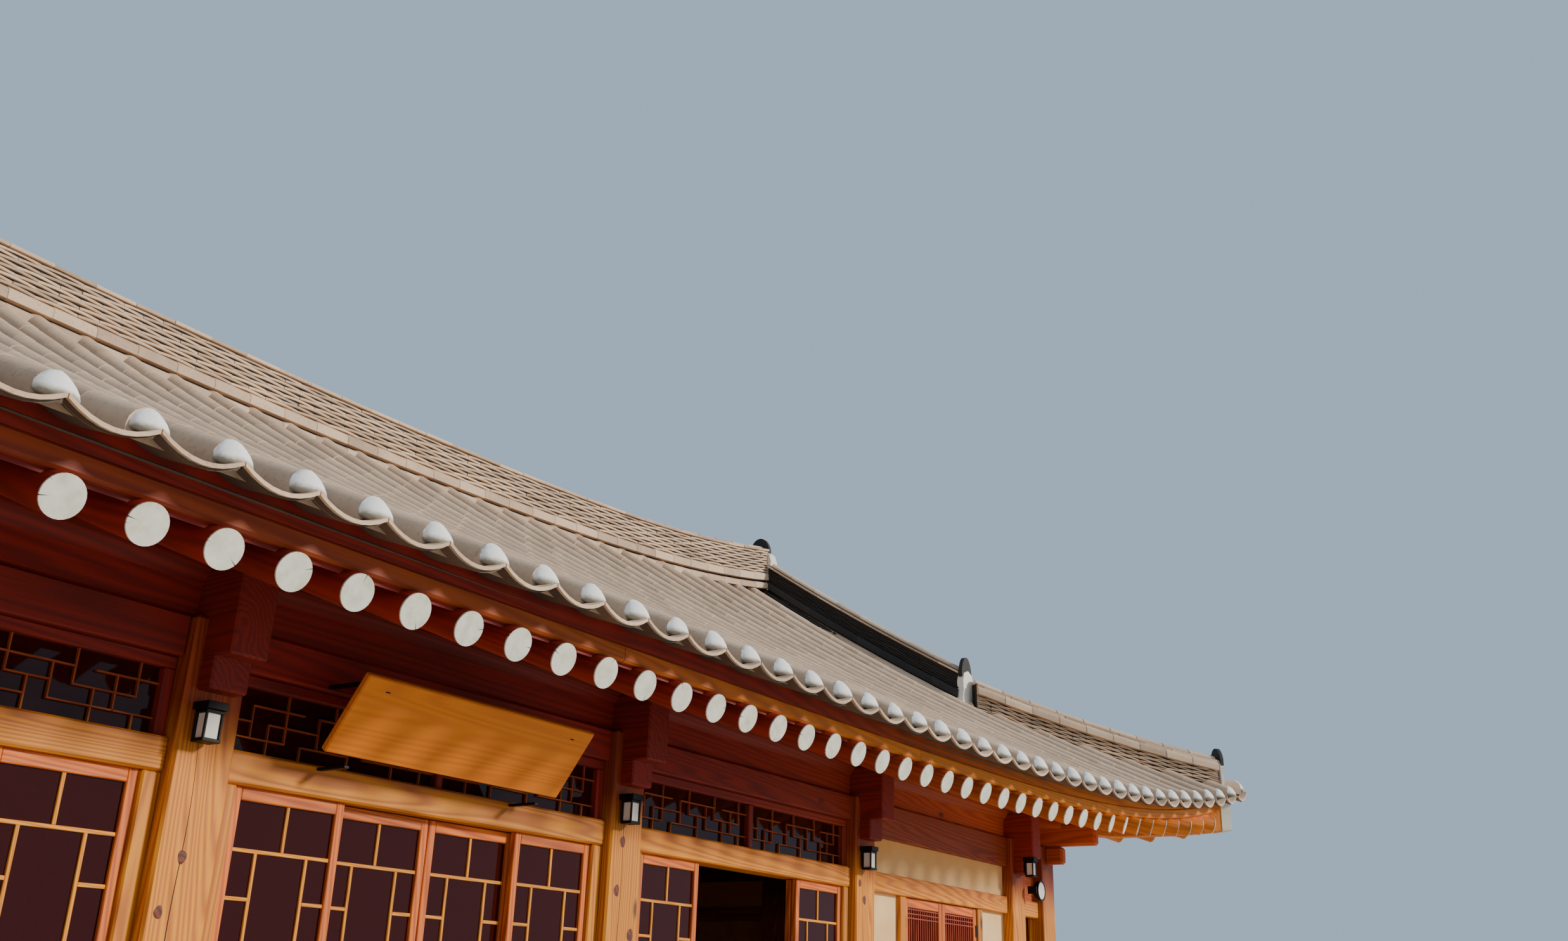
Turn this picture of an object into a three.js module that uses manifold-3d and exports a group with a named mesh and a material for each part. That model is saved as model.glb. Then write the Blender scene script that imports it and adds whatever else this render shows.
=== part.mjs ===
// Hanok house with a hip-and-gable tiled roof, in millimetres, +Z up.
// The origin is on the ground below the middle of the ridge, and the front faces -Y.
import * as THREE from 'three';
import Module from 'manifold-3d';
import { mergeVertices } from 'three/addons/utils/BufferGeometryUtils.js';

const wasm = await Module();
wasm.setup();

// Plan of the timber frame
const BAY = 3000;
const END_BAY = 750;
const DEPTH = 6000;
const COLUMN = 300;
const GAP = 0.3;
const ROW_Y = DEPTH / 2;
const FRAME_X = [-2.5, -1.5, -0.5, 0.5, 1.5, 2.5].map((n) => n * BAY);
const CORNER_X = FRAME_X[5] + END_BAY;
const HALF_COLUMN = COLUMN / 2;

// Heights above the ground
const PLATFORM_TOP = 300;
const FLOOR_TOP = 390;
const BASE_TOP = 390;
const SILL_TOP = 550;
const WAIST_LOW = 1100;
const WAIST_TOP = 1250;
const HEAD_LOW = 2467;
const HEAD_TOP = 2617;
const TRANSOM_FRAME = 55;
const TIE_LOW = 2975;
const TIE_TOP = 3160;
const PURLIN_LOW = 3310;
const PURLIN_RADIUS = 110;

// Depths of what stands in the wall line, measured outward from its centre line
const RAIL_OUT = 100;
const RAIL_IN = 80;
const PLASTER_HALF = 50;
const LEAF_THICK = 40;
const OUTER_LEAF_OUT = 65;
const INNER_LEAF_OUT = 18;
const JAMB = 90;
const STILE = 48;
const GLASS_HALF = 4;

// Sliding door leaves
const LEAF_WIDTH = 647;
const LEAF_CLEAR = 5;
const MEETING_HALF = 3;
const SLIDE = 600;

// Roof: plan of the eaves, rise of the corners and slopes
const HIP_OFFSET = CORNER_X - ROW_Y;
const EAVE_Y = 4420;
const EAVE_X = EAVE_Y + HIP_OFFSET;
const FLARE = 250;
const CORNER_RISE = 500;
const RISE_POWER = 4.75;
const FLARE_POWER = 3;
const EAVE_Z = 3300;
const EAVE_SLOPE = 0.4;
const SAG = 0.027e-3;
const RIDGE_RISE = 420;
const RIDGE_POWER = 2.2;
const GABLE_X = 7500;
const VERGE_X = 7950;
const VERGE_THICK = 160;
const VERGE_BACK = 330;

// Rafters, deck and eave board
const RAFTER_RADIUS = 75;
const RAFTER_SINK = 50;
const RAFTER_PITCH = 315;
const RAFTER_INSET = 150;
const RAFTER_POINTS = 6;
const DECK_LOW = 3144;
const DECK_THICK = 70;
const DECK_LAP = 5;
const BED_CLEAR = 75;
const MID_PURLIN_Y = 1000;
const UPPER_SLOPE = 0.75;
const BOARD_OUT = 160;
const BOARD_IN = 250;
const BED_RUN = 290;
const TILE_THICK = 45;
const FAN_X = HIP_OFFSET + MID_PURLIN_Y;
const INNER_RUN = EAVE_Y - MID_PURLIN_Y;
const FAN_STOP = 500;
const LEAST_LEFT = 0.05;
const RAFTER_SPAN = INNER_RUN - RAFTER_INSET;
const RAFTER_FLAT = RAFTER_RADIUS * Math.cos(Math.PI / 6);
const RAFTER_UNDER = RAFTER_SINK + RAFTER_FLAT * Math.hypot(1, EAVE_SLOPE);
const DECK_OVERLAP = 60;

// Raised rows of round tiles, and the widths of the ridges that they stop at
const ROW_PITCH = 336.5;
const ROW_SHIFT = 191.75;
const ROW_FOOT_HALF = 92;
const ROW_TOP_HALF = 48;
const ROW_HIGH = 118;
const ROW_SUNK = 12;
const ROW_STOP = 12;
const ROW_SHORTEST = 250;
const ROW_SPAN = 1500;
const MAIN_WIDTH = 300;
const HIP_RIDGE_WIDTH = 230;

// Beam heads, blocks and lanterns
const BEAM_WIDTH = 200;
const BEAM_TOP = 3390;
const BEAM_REACH = 350;
const BLOCK_REACH = 245;
const BLOCK_LOW = 2830;
const LANTERN = 130;
const LANTERN_LOW = 2595;
const LANTERN_TOP = 2822;

const WOOD = { color: 0xb5622a, roughness: 0.7 };
const DARK_WOOD = { color: 0x7c3418, roughness: 0.75 };
const PLASTER = { color: 0xe6c893, roughness: 0.9 };
const TILE = { color: 0x8d8478, roughness: 0.85 };
const STONE = { color: 0xa9a49a, roughness: 0.9 };

const house = new THREE.Group();

// Turn a three.js geometry into a solid that can be joined and cut
function solid(geometry) {
  const bare = geometry.index ? geometry : geometry.clone();
  bare.deleteAttribute('normal');
  bare.deleteAttribute('uv');
  const merged = mergeVertices(bare, 1e-3);
  return new wasm.Manifold(new wasm.Mesh({
    numProp: 3,
    vertProperties: new Float32Array(merged.attributes.position.array),
    triVerts: new Uint32Array(merged.index.array),
  }));
}

// Turn a solid back into a geometry
function geometryOf(body) {
  const mesh = body.getMesh();
  const geometry = new THREE.BufferGeometry();
  geometry.setAttribute('position', new THREE.BufferAttribute(new Float32Array(mesh.vertProperties), 3));
  geometry.setIndex(new THREE.BufferAttribute(new Uint32Array(mesh.triVerts), 1));
  geometry.computeVertexNormals();
  return geometry;
}

// Hang one finished solid in the house under its own name
function place(name, body, look) {
  const mesh = new THREE.Mesh(geometryOf(body), new THREE.MeshStandardMaterial(look));
  mesh.name = name;
  house.add(mesh);
  return body;
}

// Box between two corners
function box(x0, x1, y0, y1, z0, z1) {
  const geometry = new THREE.BoxGeometry(x1 - x0, y1 - y0, z1 - z0);
  geometry.translate((x0 + x1) / 2, (y0 + y1) / 2, (z0 + z1) / 2);
  return solid(geometry);
}

// Join a list of solids into one
function join(list) {
  return list.reduce((sum, body) => sum.add(body));
}

// Largest piece of a solid that a cut has left in several
const largest = (body) => body.decompose().sort((a, b) => b.volume() - a.volume())[0];

// Straight round bar of few sides between two points
function bar(from, to, radius, sides = 8) {
  const a = new THREE.Vector3(...from);
  const b = new THREE.Vector3(...to);
  const along = new THREE.Vector3().subVectors(b, a);
  const geometry = new THREE.CylinderGeometry(radius, radius, along.length(), sides);
  geometry.rotateY(Math.PI / sides);
  const turn = new THREE.Quaternion().setFromUnitVectors(new THREE.Vector3(0, 1, 0), along.normalize());
  geometry.applyQuaternion(turn);
  geometry.translate((a.x + b.x) / 2, (a.y + b.y) / 2, (a.z + b.z) / 2);
  return solid(geometry);
}

// Upright prism over a plan outline
function prism(points, z0, z1) {
  const shape = new THREE.Shape(points.map(([x, y]) => new THREE.Vector2(x, y)));
  const geometry = new THREE.ExtrudeGeometry(shape, { depth: z1 - z0, bevelEnabled: false });
  geometry.translate(0, 0, z0);
  return solid(geometry);
}

// Evenly spaced values from a to b
function steps(a, b, count) {
  return Array.from({ length: count + 1 }, (_, i) => a + ((b - a) * i) / count);
}

// Closed body through a row of sections that all have the same number of points, ended by caps that follow their order
function tube(sections, caps) {
  const count = sections[0].length;
  const faces = [];
  for (let i = 0; i + 1 < sections.length; i += 1) {
    for (let j = 0; j < count; j += 1) {
      const a = i * count + j;
      const b = i * count + ((j + 1) % count);
      faces.push(a, b, a + count, b, b + count, a + count);
    }
  }
  const last = (sections.length - 1) * count;
  for (const [a, b, c] of caps) {
    faces.push(a, c, b, last + a, last + b, last + c);
  }
  const geometry = new THREE.BufferGeometry();
  geometry.setAttribute('position', new THREE.Float32BufferAttribute(sections.flat(2), 3));
  geometry.setIndex(faces);
  return facingOut(geometry);
}

// Tube through convex sections
function loft(sections) {
  const caps = sections[0].slice(2).map((_, j) => [0, j + 1, j + 2]);
  return tube(sections, caps);
}

// Solid of a closed geometry, its faces turned outward
function facingOut(geometry) {
  const body = solid(geometry);
  return body.volume() < 0 ? solid(flipped(geometry)) : body;
}

// Same geometry with every face turned over
function flipped(geometry) {
  const index = Array.from(geometry.index.array);
  for (let i = 0; i < index.length; i += 3) {
    [index[i], index[i + 1]] = [index[i + 1], index[i]];
  }
  geometry.setIndex(index);
  return geometry;
}

// Slab between an upper and a lower height over a grid of plan lines
function slab(rows, columns, planOf, topOf, bottomOf) {
  const across = columns.length;
  const points = [];
  for (const height of [topOf, bottomOf]) {
    for (const u of rows) {
      for (const v of columns) {
        const [x, y] = planOf(u, v);
        points.push(x, y, height(u, v));
      }
    }
  }
  const half = rows.length * across;
  const faces = [];
  const quad = (a, b, c, d) => faces.push(a, b, c, a, c, d);
  for (let i = 0; i + 1 < rows.length; i += 1) {
    for (let j = 0; j + 1 < across; j += 1) {
      const a = i * across + j;
      quad(a, a + across, a + across + 1, a + 1);
      quad(half + a, half + a + 1, half + a + across + 1, half + a + across);
    }
  }
  for (let j = 0; j + 1 < across; j += 1) {
    const far = (rows.length - 1) * across + j;
    quad(j, j + 1, half + j + 1, half + j);
    quad(far + 1, far, half + far, half + far + 1);
  }
  for (let i = 0; i + 1 < rows.length; i += 1) {
    const near = i * across;
    const far = near + across - 1;
    quad(near + across, near, half + near, half + near + across);
    quad(far, far + across, half + far + across, half + far);
  }
  const geometry = new THREE.BufferGeometry();
  geometry.setAttribute('position', new THREE.Float32BufferAttribute(points, 3));
  geometry.setIndex(faces);
  return facingOut(geometry);
}

// Rise of the eave, and how far it swings out, at a place along it given as distance from the ridge middle
const riseAt = (x) => CORNER_RISE * (Math.abs(x) / (EAVE_X + FLARE)) ** RISE_POWER;
const flareAt = (x) => FLARE * (Math.abs(x) / (EAVE_X + FLARE)) ** FLARE_POWER;
const ridgeRiseAt = (x) => RIDGE_RISE * (Math.abs(x) / GABLE_X) ** RIDGE_POWER;

// Height of the tile bed: run is the distance in from the straight eave line, x the place along the eave
function tileHeight(run, x, ridgeX) {
  const flare = flareAt(x);
  const share = (run + flare) / (EAVE_Y + flare);
  const reach = share * EAVE_Y;
  const slope = EAVE_Z + EAVE_SLOPE * reach + SAG * reach * reach;
  return slope + riseAt(x) * (1 - share) + ridgeRiseAt(ridgeX) * share;
}

// Height of the underside of the deck. Past the fan point the rafters spread like rays, and the deck follows them.
function deckHeight(run, x) {
  const left = (INNER_RUN - run) / RAFTER_SPAN;
  const spread = FAN_X + (x - FAN_X) / Math.max(left, LEAST_LEFT);
  const eaveX = x > FAN_X ? Math.min(spread, EAVE_X + FLARE) : x;
  const flare = flareAt(eaveX);
  const share = Math.min(1, (run - RAFTER_INSET + flare) / (RAFTER_SPAN + flare));
  const upper = Math.max(0, run - INNER_RUN) * UPPER_SLOPE;
  return DECK_LOW + EAVE_SLOPE * RAFTER_SPAN * share + upper + riseAt(eaveX) * (1 - share);
}

// A slope is drawn along its eave (u) and in from its eave (run). Front slope: u is x. Side slope: u is y.
const frontSlope = {
  fan: FAN_X,
  along: (u) => Math.abs(u),
  ridge: (u) => u,
  plan: (u, run) => [u, run - EAVE_Y],
};
const sideSlope = {
  fan: MID_PURLIN_Y,
  along: (u) => Math.abs(u) + HIP_OFFSET,
  ridge: (u, run) => EAVE_X - run,
  plan: (u, run) => [EAVE_X - run, u],
};

// Rows near the eave swing out with it
const swing = (slope, u, run) => (run < BOARD_IN ? run - flareAt(slope.along(u)) : run);

// Layer of a slope over straight rows, with its own upper and lower heights
function layer(slope, us, runs, top, bottom) {
  const height = (of) => (u, v) => of(swing(slope, u, v), slope.along(u), slope.ridge(u, v));
  return slab(us, runs, (u, v) => slope.plan(u, swing(slope, u, v)), height(top), height(bottom));
}

// Place along the eave of a ray of the fan, at a distance in from the eave
function onRay(slope, u, run) {
  const spread = Math.abs(u) - slope.fan;
  return spread > 0 ? Math.sign(u) * (slope.fan + (spread * (INNER_RUN - run)) / RAFTER_SPAN) : u;
}

const deckTop = (run, x) => deckHeight(run, x) + DECK_THICK;
const tileUnder = (run, x, ridgeX) => tileHeight(run, x, ridgeX) - TILE_THICK;
const bedUnder = (run, x, ridgeX) => (
  run < BOARD_IN ? tileUnder(run, x, ridgeX) : deckTop(run, x) + BED_CLEAR);

// Plan outlines that the slopes are cut to
const FAR = EAVE_X + 600;
const ROOF_LOW = 2000;
const ROOF_HIGH = 8000;
const SIDE_TOP_X = GABLE_X + 62;
const BED_RUNS = steps(BED_RUN, INNER_RUN, 4);
const hipY = (x) => x - HIP_OFFSET;
const wingOutline = (gap) => [
  [-GABLE_X, -gap], [-GABLE_X, -hipY(GABLE_X) - gap], [-FAR, -hipY(FAR) - gap],
  [FAR, -hipY(FAR) - gap], [GABLE_X, -hipY(GABLE_X) - gap], [GABLE_X, -gap],
];
const sideOutline = (fromX, gap) => [
  [fromX, hipY(fromX) - gap], [fromX, -hipY(fromX) + gap],
  [FAR, -hipY(FAR) + gap], [FAR, hipY(FAR) - gap],
];
const cornerUs = steps(GABLE_X, EAVE_X + FLARE, 5);
const frontUs = [
  ...cornerUs.map((u) => -u).reverse(), ...steps(-GABLE_X, GABLE_X, 12).slice(1, -1), ...cornerUs,
];
const sideUs = steps(-EAVE_Y - FLARE, EAVE_Y + FLARE, 12);

// Tile bed of the front slope, with its thin verges past the gables
function frontTiles(under, vergeThick, gap) {
  const edge = layer(frontSlope, frontUs, [0, BOARD_OUT, BOARD_IN - 1], tileHeight, under);
  const bed = layer(frontSlope, frontUs, [BOARD_IN - 1, ...BED_RUNS, EAVE_Y], tileHeight, under);
  const main = edge.add(bed).intersect(prism(wingOutline(gap), ROOF_LOW, ROOF_HIGH));
  const inner = GABLE_X - 100;
  const verge = layer(frontSlope, [inner, GABLE_X, VERGE_X], steps(1500, EAVE_Y, 3), tileHeight,
    (run, x, ridgeX) => tileHeight(run, x, ridgeX) - vergeThick);
  const back = VERGE_BACK + gap;
  const right = verge.intersect(prism([
    [inner, -gap], [inner, -hipY(inner) + back], [VERGE_X, -hipY(VERGE_X) + back], [VERGE_X, -gap],
  ], ROOF_LOW, ROOF_HIGH));
  return join([main, right, right.mirror([1, 0, 0])]);
}

// Tile bed of the right slope, up to the foot of the gable
function sideTiles(under, gap) {
  const edge = layer(sideSlope, sideUs, [0, BOARD_OUT, BOARD_IN - 1], tileHeight, under);
  const bed = layer(sideSlope, sideUs, [BOARD_IN - 1, ...BED_RUNS], tileHeight, under);
  return edge.add(bed).intersect(prism(sideOutline(SIDE_TOP_X, gap), ROOF_LOW, ROOF_HIGH));
}

// Places along the eave of all rafters of a slope, with the middle of the slope between two of them
function rafterPlaces(last) {
  const half = Math.round(last / RAFTER_PITCH) - 0.5;
  return steps(-half, half, 2 * half).map((n) => n * RAFTER_PITCH);
}

// Underside of the deck with the rafters standing out of it, as places along the eave and depths below the deck
function rafterOutline(last) {
  const half = RAFTER_RADIUS / 2;
  const waist = RAFTER_RADIUS;
  const top = waist - (RAFTER_SINK * half) / RAFTER_FLAT;
  const profile = [
    [-top, 0], [-waist, RAFTER_SINK], [-half, RAFTER_UNDER], [half, RAFTER_UNDER], [waist, RAFTER_SINK], [top, 0],
  ];
  return rafterPlaces(last).flatMap((u) => profile.map(([side, depth]) => [u + side, depth]));
}

// Faces that close the end of a deck: one fan for each rafter, and a strip along the deck between two rows
function deckCaps(outline, underCount) {
  const caps = [];
  const lower = [0];
  for (let base = 1; base < underCount; base += RAFTER_POINTS) {
    for (let k = 1; k + 1 < RAFTER_POINTS; k += 1) caps.push([base, base + k, base + k + 1]);
    lower.push(base, base + RAFTER_POINTS - 1);
  }
  lower.push(underCount + 1);
  const upper = steps(outline.length - 1, underCount + 2, outline.length - underCount - 3);
  let i = 0;
  let j = 0;
  while (i + 1 < lower.length || j + 1 < upper.length) {
    const stepLower = j + 1 >= upper.length
      || (i + 1 < lower.length && outline[lower[i + 1]][0] <= outline[upper[j + 1]][0]);
    if (stepLower) {
      caps.push([lower[i], lower[i + 1], upper[j]]);
      i += 1;
    } else {
      caps.push([lower[i], upper[j + 1], upper[j]]);
      j += 1;
    }
  }
  return caps;
}

// Deck boards and rafters of one slope, drawn between their eave end and their inner end
function deckAndRafters(slope, us, last) {
  const under = rafterOutline(last);
  const reach = us[us.length - 1];
  const over = [...us].reverse().map((u) => [u, -DECK_THICK]);
  const outline = [[-reach, 0], ...under, [reach, 0], ...over];
  const at = (u, depth, inner) => {
    const fan = Math.abs(u) > slope.fan;
    const run = inner ? INNER_RUN - (fan ? FAN_STOP : 0) : RAFTER_INSET - flareAt(slope.along(u));
    const across = onRay(slope, u, run);
    return [...slope.plan(across, run), deckHeight(run, slope.along(across)) - depth];
  };
  const sections = [false, true].map((inner) => outline.map(([u, depth]) => at(u, depth, inner)));
  return tube(sections, deckCaps(outline, under.length));
}

// Deck, rafters and eave board of one slope
function timberSlope(slope, us, last, extra, outline) {
  const board = layer(slope, us, [BOARD_OUT, BOARD_IN - 1],
    (run, x, ridgeX) => tileUnder(run, x, ridgeX) - GAP, (run, x) => deckHeight(run, x) + DECK_THICK / 2);
  return join([deckAndRafters(slope, us, last), board, ...extra]).intersect(prism(outline, ROOF_LOW, ROOF_HIGH));
}

// Raised row of round tiles up the front slope, from the eave to just before the ridge that it meets
function tileRow(u) {
  const far = Math.abs(u);
  const first = -flareAt(far);
  const last = far + ROW_FOOT_HALF < GABLE_X
    ? EAVE_Y - MAIN_WIDTH / 2 - ROW_STOP
    : EAVE_X - far - ROW_FOOT_HALF - HIP_RIDGE_WIDTH * Math.SQRT1_2 - ROW_STOP;
  if (last - first < ROW_SHORTEST) return [];
  const profile = [
    [-ROW_FOOT_HALF, -ROW_SUNK], [ROW_FOOT_HALF, -ROW_SUNK], [ROW_TOP_HALF, ROW_HIGH], [-ROW_TOP_HALF, ROW_HIGH],
  ];
  const count = Math.ceil((last - first) / ROW_SPAN);
  return [loft(steps(first, last, count).map((run) => (
    profile.map(([side, high]) => [u + side, run - EAVE_Y, tileHeight(run, far, far) + high]))))];
}

// Every second row of tiles is raised in the solid, and the rows between them stay flat
const rowCount = Math.floor(EAVE_X / (2 * ROW_PITCH));
const tileRows = join(steps(-rowCount - 1, rowCount, 2 * rowCount + 1)
  .flatMap((n) => tileRow(ROW_SHIFT + 2 * ROW_PITCH * n)));

const frontTileBed = frontTiles(bedUnder, VERGE_THICK, GAP).add(tileRows);
const rightTileBed = sideTiles(bedUnder, GAP);
const halfTurn = (body) => body.rotate([0, 0, 180]);
const tileBeds = {
  front_roof_slope: frontTileBed,
  rear_roof_slope: halfTurn(frontTileBed),
  right_roof_slope: rightTileBed,
  left_roof_slope: halfTurn(rightTileBed),
};
for (const [name, body] of Object.entries(tileBeds)) {
  place(name, body, TILE);
}

// Hip rafter: a deep squared timber that rises to the corner, seen end-on at its tip
const HIP_WIDTH = 180;
const HIP_DEPTH = 240;
const HIP_TIP = EAVE_Y + 120;
const HIP_START = 100;
function hipRafter(spare) {
  const half = (HIP_WIDTH / 2 + spare) / Math.SQRT2;
  const ends = [MID_PURLIN_Y + HIP_START - spare, HIP_TIP + spare];
  const sections = steps(...ends, 5).map((y) => {
    const x = y + HIP_OFFSET;
    const run = EAVE_Y - y;
    const top = deckHeight(Math.max(run, RAFTER_INSET), x) + spare + 20;
    const low = top - HIP_DEPTH - 2 * spare;
    return [
      [x - half, -y - half, low], [x + half, -y + half, low],
      [x + half, -y + half, top], [x - half, -y - half, top],
    ];
  });
  return loft(sections);
}

// Every corner of the house from the front right one
function fourCorners(body) {
  const right = [body, body.mirror([0, 1, 0])];
  return [...right, ...right.map((copy) => copy.mirror([1, 0, 0]))];
}
const CORNERS = ['front_right', 'rear_right', 'front_left', 'rear_left'];

// Deck of the main roof above the mid purlins, lapped a little over the lower deck, and between them and the gables
const lapLift = (run) => (DECK_LAP * (EAVE_Y - run)) / MID_PURLIN_Y;
const upperDeck = layer(frontSlope, [-GABLE_X, GABLE_X], [INNER_RUN - DECK_OVERLAP, INNER_RUN, EAVE_Y],
  (run) => deckTop(run, 0) + lapLift(run), (run) => deckHeight(run, 0) + lapLift(run));
const shoulder = layer(frontSlope, [FAN_X - 100, GABLE_X], [EAVE_X - GABLE_X - DECK_OVERLAP, INNER_RUN],
  (run) => deckTop(run, 0), (run) => deckHeight(run, 0)).intersect(prism([
  [FAN_X - 100, -MID_PURLIN_Y + 100], [GABLE_X, -hipY(GABLE_X) - DECK_OVERLAP], [GABLE_X, -MID_PURLIN_Y + 100],
], ROOF_LOW, ROOF_HIGH));

const roomForHips = join(fourCorners(hipRafter(GAP)));
const frontTimber = timberSlope(frontSlope, frontUs, EAVE_X + FLARE - 300,
  [upperDeck, shoulder, shoulder.mirror([1, 0, 0])], wingOutline(GAP));
const rightTimber = timberSlope(sideSlope, sideUs, EAVE_Y + FLARE - 300, [], sideOutline(GABLE_X + GAP, GAP));
const frontRafters = largest(frontTimber.subtract(roomForHips));
const rightRafters = largest(rightTimber.subtract(roomForHips));
place('front_rafters', frontRafters, DARK_WOOD);
place('rear_rafters', halfTurn(frontRafters), DARK_WOOD);
place('right_rafters', rightRafters, DARK_WOOD);
place('left_rafters', halfTurn(rightRafters), DARK_WOOD);
fourCorners(hipRafter(0)).forEach((body, i) => place(`hip_rafter_${CORNERS[i]}`, body, DARK_WOOD));

// Ridge of stacked tiles along a plan line, sunk into the tile beds and then cut to sit on them
function ridgeRun(points, width, sink) {
  const sections = points.map(([x, y, base, height, nx, ny]) => {
    const out = (side, z) => [x + nx * side * width, y + ny * side * width, base + z];
    return [
      out(0.5, -sink), out(0.5, height * 0.8), out(0.22, height),
      out(-0.22, height), out(-0.5, height * 0.8), out(-0.5, -sink),
    ];
  });
  return loft(sections);
}

const DEEP = 900;
const DEEP_LAP = -2;
const MAIN_END = 7680;
const MAIN_HEIGHT = 560;
const mainRidge = ridgeRun(steps(-MAIN_END, MAIN_END, 16).map((x) => (
  [x, 0, tileHeight(EAVE_Y, x, x), MAIN_HEIGHT - 90, 0, 1])), MAIN_WIDTH, 230);

// Descending ridge down the edge of the gable, and the hip ridge that carries on to the corner
const DROP_WIDTH = 260;
const DROP_HEIGHT = 420;
const DROP_TOP_X = 7640;
const DROP_FOOT = [7770, 2480];
const HIP_RIDGE_HEIGHT = 330;
const HIP_RIDGE_END = EAVE_Y + 60;
function cornerRidge() {
  const drop = steps(MAIN_WIDTH / 2 + 5, DROP_FOOT[1], 5).map((y) => {
    const part = y / DROP_FOOT[1];
    const x = DROP_TOP_X + (DROP_FOOT[0] - DROP_TOP_X) * part;
    return [x, -y, tileHeight(EAVE_Y - y, x, x) + 60, DROP_HEIGHT * (1 - 0.1 * part), -1, 0];
  });
  const turn = Math.SQRT1_2;
  const hip = steps(DROP_FOOT[1] - 120, HIP_RIDGE_END, 5).map((y) => {
    const x = y + HIP_OFFSET;
    return [x, -y, tileHeight(EAVE_Y - y, x, x) + 40, HIP_RIDGE_HEIGHT, -turn, -turn];
  });
  return ridgeRun(drop, DROP_WIDTH, 260).add(ridgeRun(hip, HIP_RIDGE_WIDTH, 150));
}

const deepUnder = (run, x, ridgeX) => tileHeight(run, x, ridgeX) - DEEP;
const deepFront = frontTiles(deepUnder, DEEP, DEEP_LAP);
const deepRight = sideTiles(deepUnder, DEEP_LAP);
const roomForBeds = join([deepFront, halfTurn(deepFront), deepRight, halfTurn(deepRight)]).translate([0, 0, GAP]);
const seatOnBeds = (body) => largest(body.subtract(roomForBeds));
place('main_ridge', seatOnBeds(mainRidge), TILE);
fourCorners(cornerRidge()).forEach((body, i) => place(`corner_ridge_${CORNERS[i]}`, seatOnBeds(body), TILE));

// Gable: a boarded wall with purlin ends that carry the barge boards
const GABLE_WALL = 50;
const BARGE_THICK = 60;
const BARGE_DEPTH = 340;
const BARGE_X = VERGE_X - 100;
const PURLIN_END = 90;
const GABLE_PURLINS = [-1500, 0, 1500];
function gable() {
  const spare = 25;
  const foot = tileHeight(EAVE_X - SIDE_TOP_X, HIP_OFFSET, SIDE_TOP_X);
  const half = hipY(GABLE_X) - VERGE_BACK - 60;
  const under = (y, x) => tileHeight(EAVE_Y - Math.abs(y), x, x) - VERGE_THICK - spare;
  const ys = steps(-half, half, 8);
  const sheet = (x0, x1, low, high) => loft(ys.map((y) => [
    [x0, y, low(y, x0)], [x1, y, low(y, x1)], [x1, y, high(y, x1)], [x0, y, high(y, x0)],
  ]));
  const wall = sheet(GABLE_X + 5, GABLE_X + 5 + GABLE_WALL, () => foot - 60, under);
  const barge = sheet(BARGE_X, BARGE_X + BARGE_THICK, (y, x) => under(y, x) - BARGE_DEPTH, under);
  const ends = GABLE_PURLINS.map((y) => bar(
    [GABLE_X + 30, y, under(y, GABLE_X) - BARGE_DEPTH / 2 - 20],
    [BARGE_X + BARGE_THICK / 2, y, under(y, BARGE_X) - BARGE_DEPTH / 2 - 20], PURLIN_END, 8));
  return join([wall, barge, ...ends]);
}
const rightGable = largest(gable().subtract(deepRight.translate([0, 0, GAP])));
place('right_gable', rightGable, DARK_WOOD);
place('left_gable', halfTurn(rightGable), DARK_WOOD);

// Eave purlins: round logs on squared bearers, lapped over each other past the corner columns
const PURLIN_REACH = 330;
const FLAT_TOP = Math.cos(Math.PI / 8);
const FLAT_HALF = Math.sin(Math.PI / 8);
const rafterLow = (y) => deckHeight(EAVE_Y - y, 0) - RAFTER_UNDER;
const PURLIN_Z = rafterLow(ROW_Y + PURLIN_RADIUS * FLAT_HALF) - PURLIN_RADIUS * FLAT_TOP - GAP;
function frontPurlin(spare) {
  const reach = CORNER_X + PURLIN_REACH;
  const half = PLASTER_HALF + spare;
  return bar([-reach, -ROW_Y, PURLIN_Z], [reach, -ROW_Y, PURLIN_Z], PURLIN_RADIUS + spare).add(
    box(-reach + 60, reach - 60, -ROW_Y - half, -ROW_Y + half, TIE_TOP + GAP - spare, PURLIN_Z - 40));
}
function rightPurlin(spare) {
  const reach = ROW_Y + PURLIN_REACH;
  const half = PLASTER_HALF + spare;
  return bar([CORNER_X, -reach, PURLIN_Z], [CORNER_X, reach, PURLIN_Z], PURLIN_RADIUS + spare).add(
    box(CORNER_X - half, CORNER_X + half, -reach + 60, reach - 60, TIE_TOP + GAP - spare, PURLIN_Z - 40));
}
const bothWays = (body) => body.add(halfTurn(body));
const above = box(-FAR, FAR, -FAR, FAR, PURLIN_Z, ROOF_HIGH);
const below = box(-FAR, FAR, -FAR, FAR, 0, PURLIN_Z + GAP);
const lappedFront = frontPurlin(0).subtract(bothWays(rightPurlin(GAP)).intersect(above));
const lappedRight = rightPurlin(0).subtract(bothWays(frontPurlin(GAP)).intersect(below));
place('front_eave_purlin', lappedFront, DARK_WOOD);
place('rear_eave_purlin', halfTurn(lappedFront), DARK_WOOD);
place('right_eave_purlin', lappedRight, DARK_WOOD);
place('left_eave_purlin', halfTurn(lappedRight), DARK_WOOD);
const roomForRing = bothWays(frontPurlin(GAP)).add(bothWays(rightPurlin(GAP)));

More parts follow.
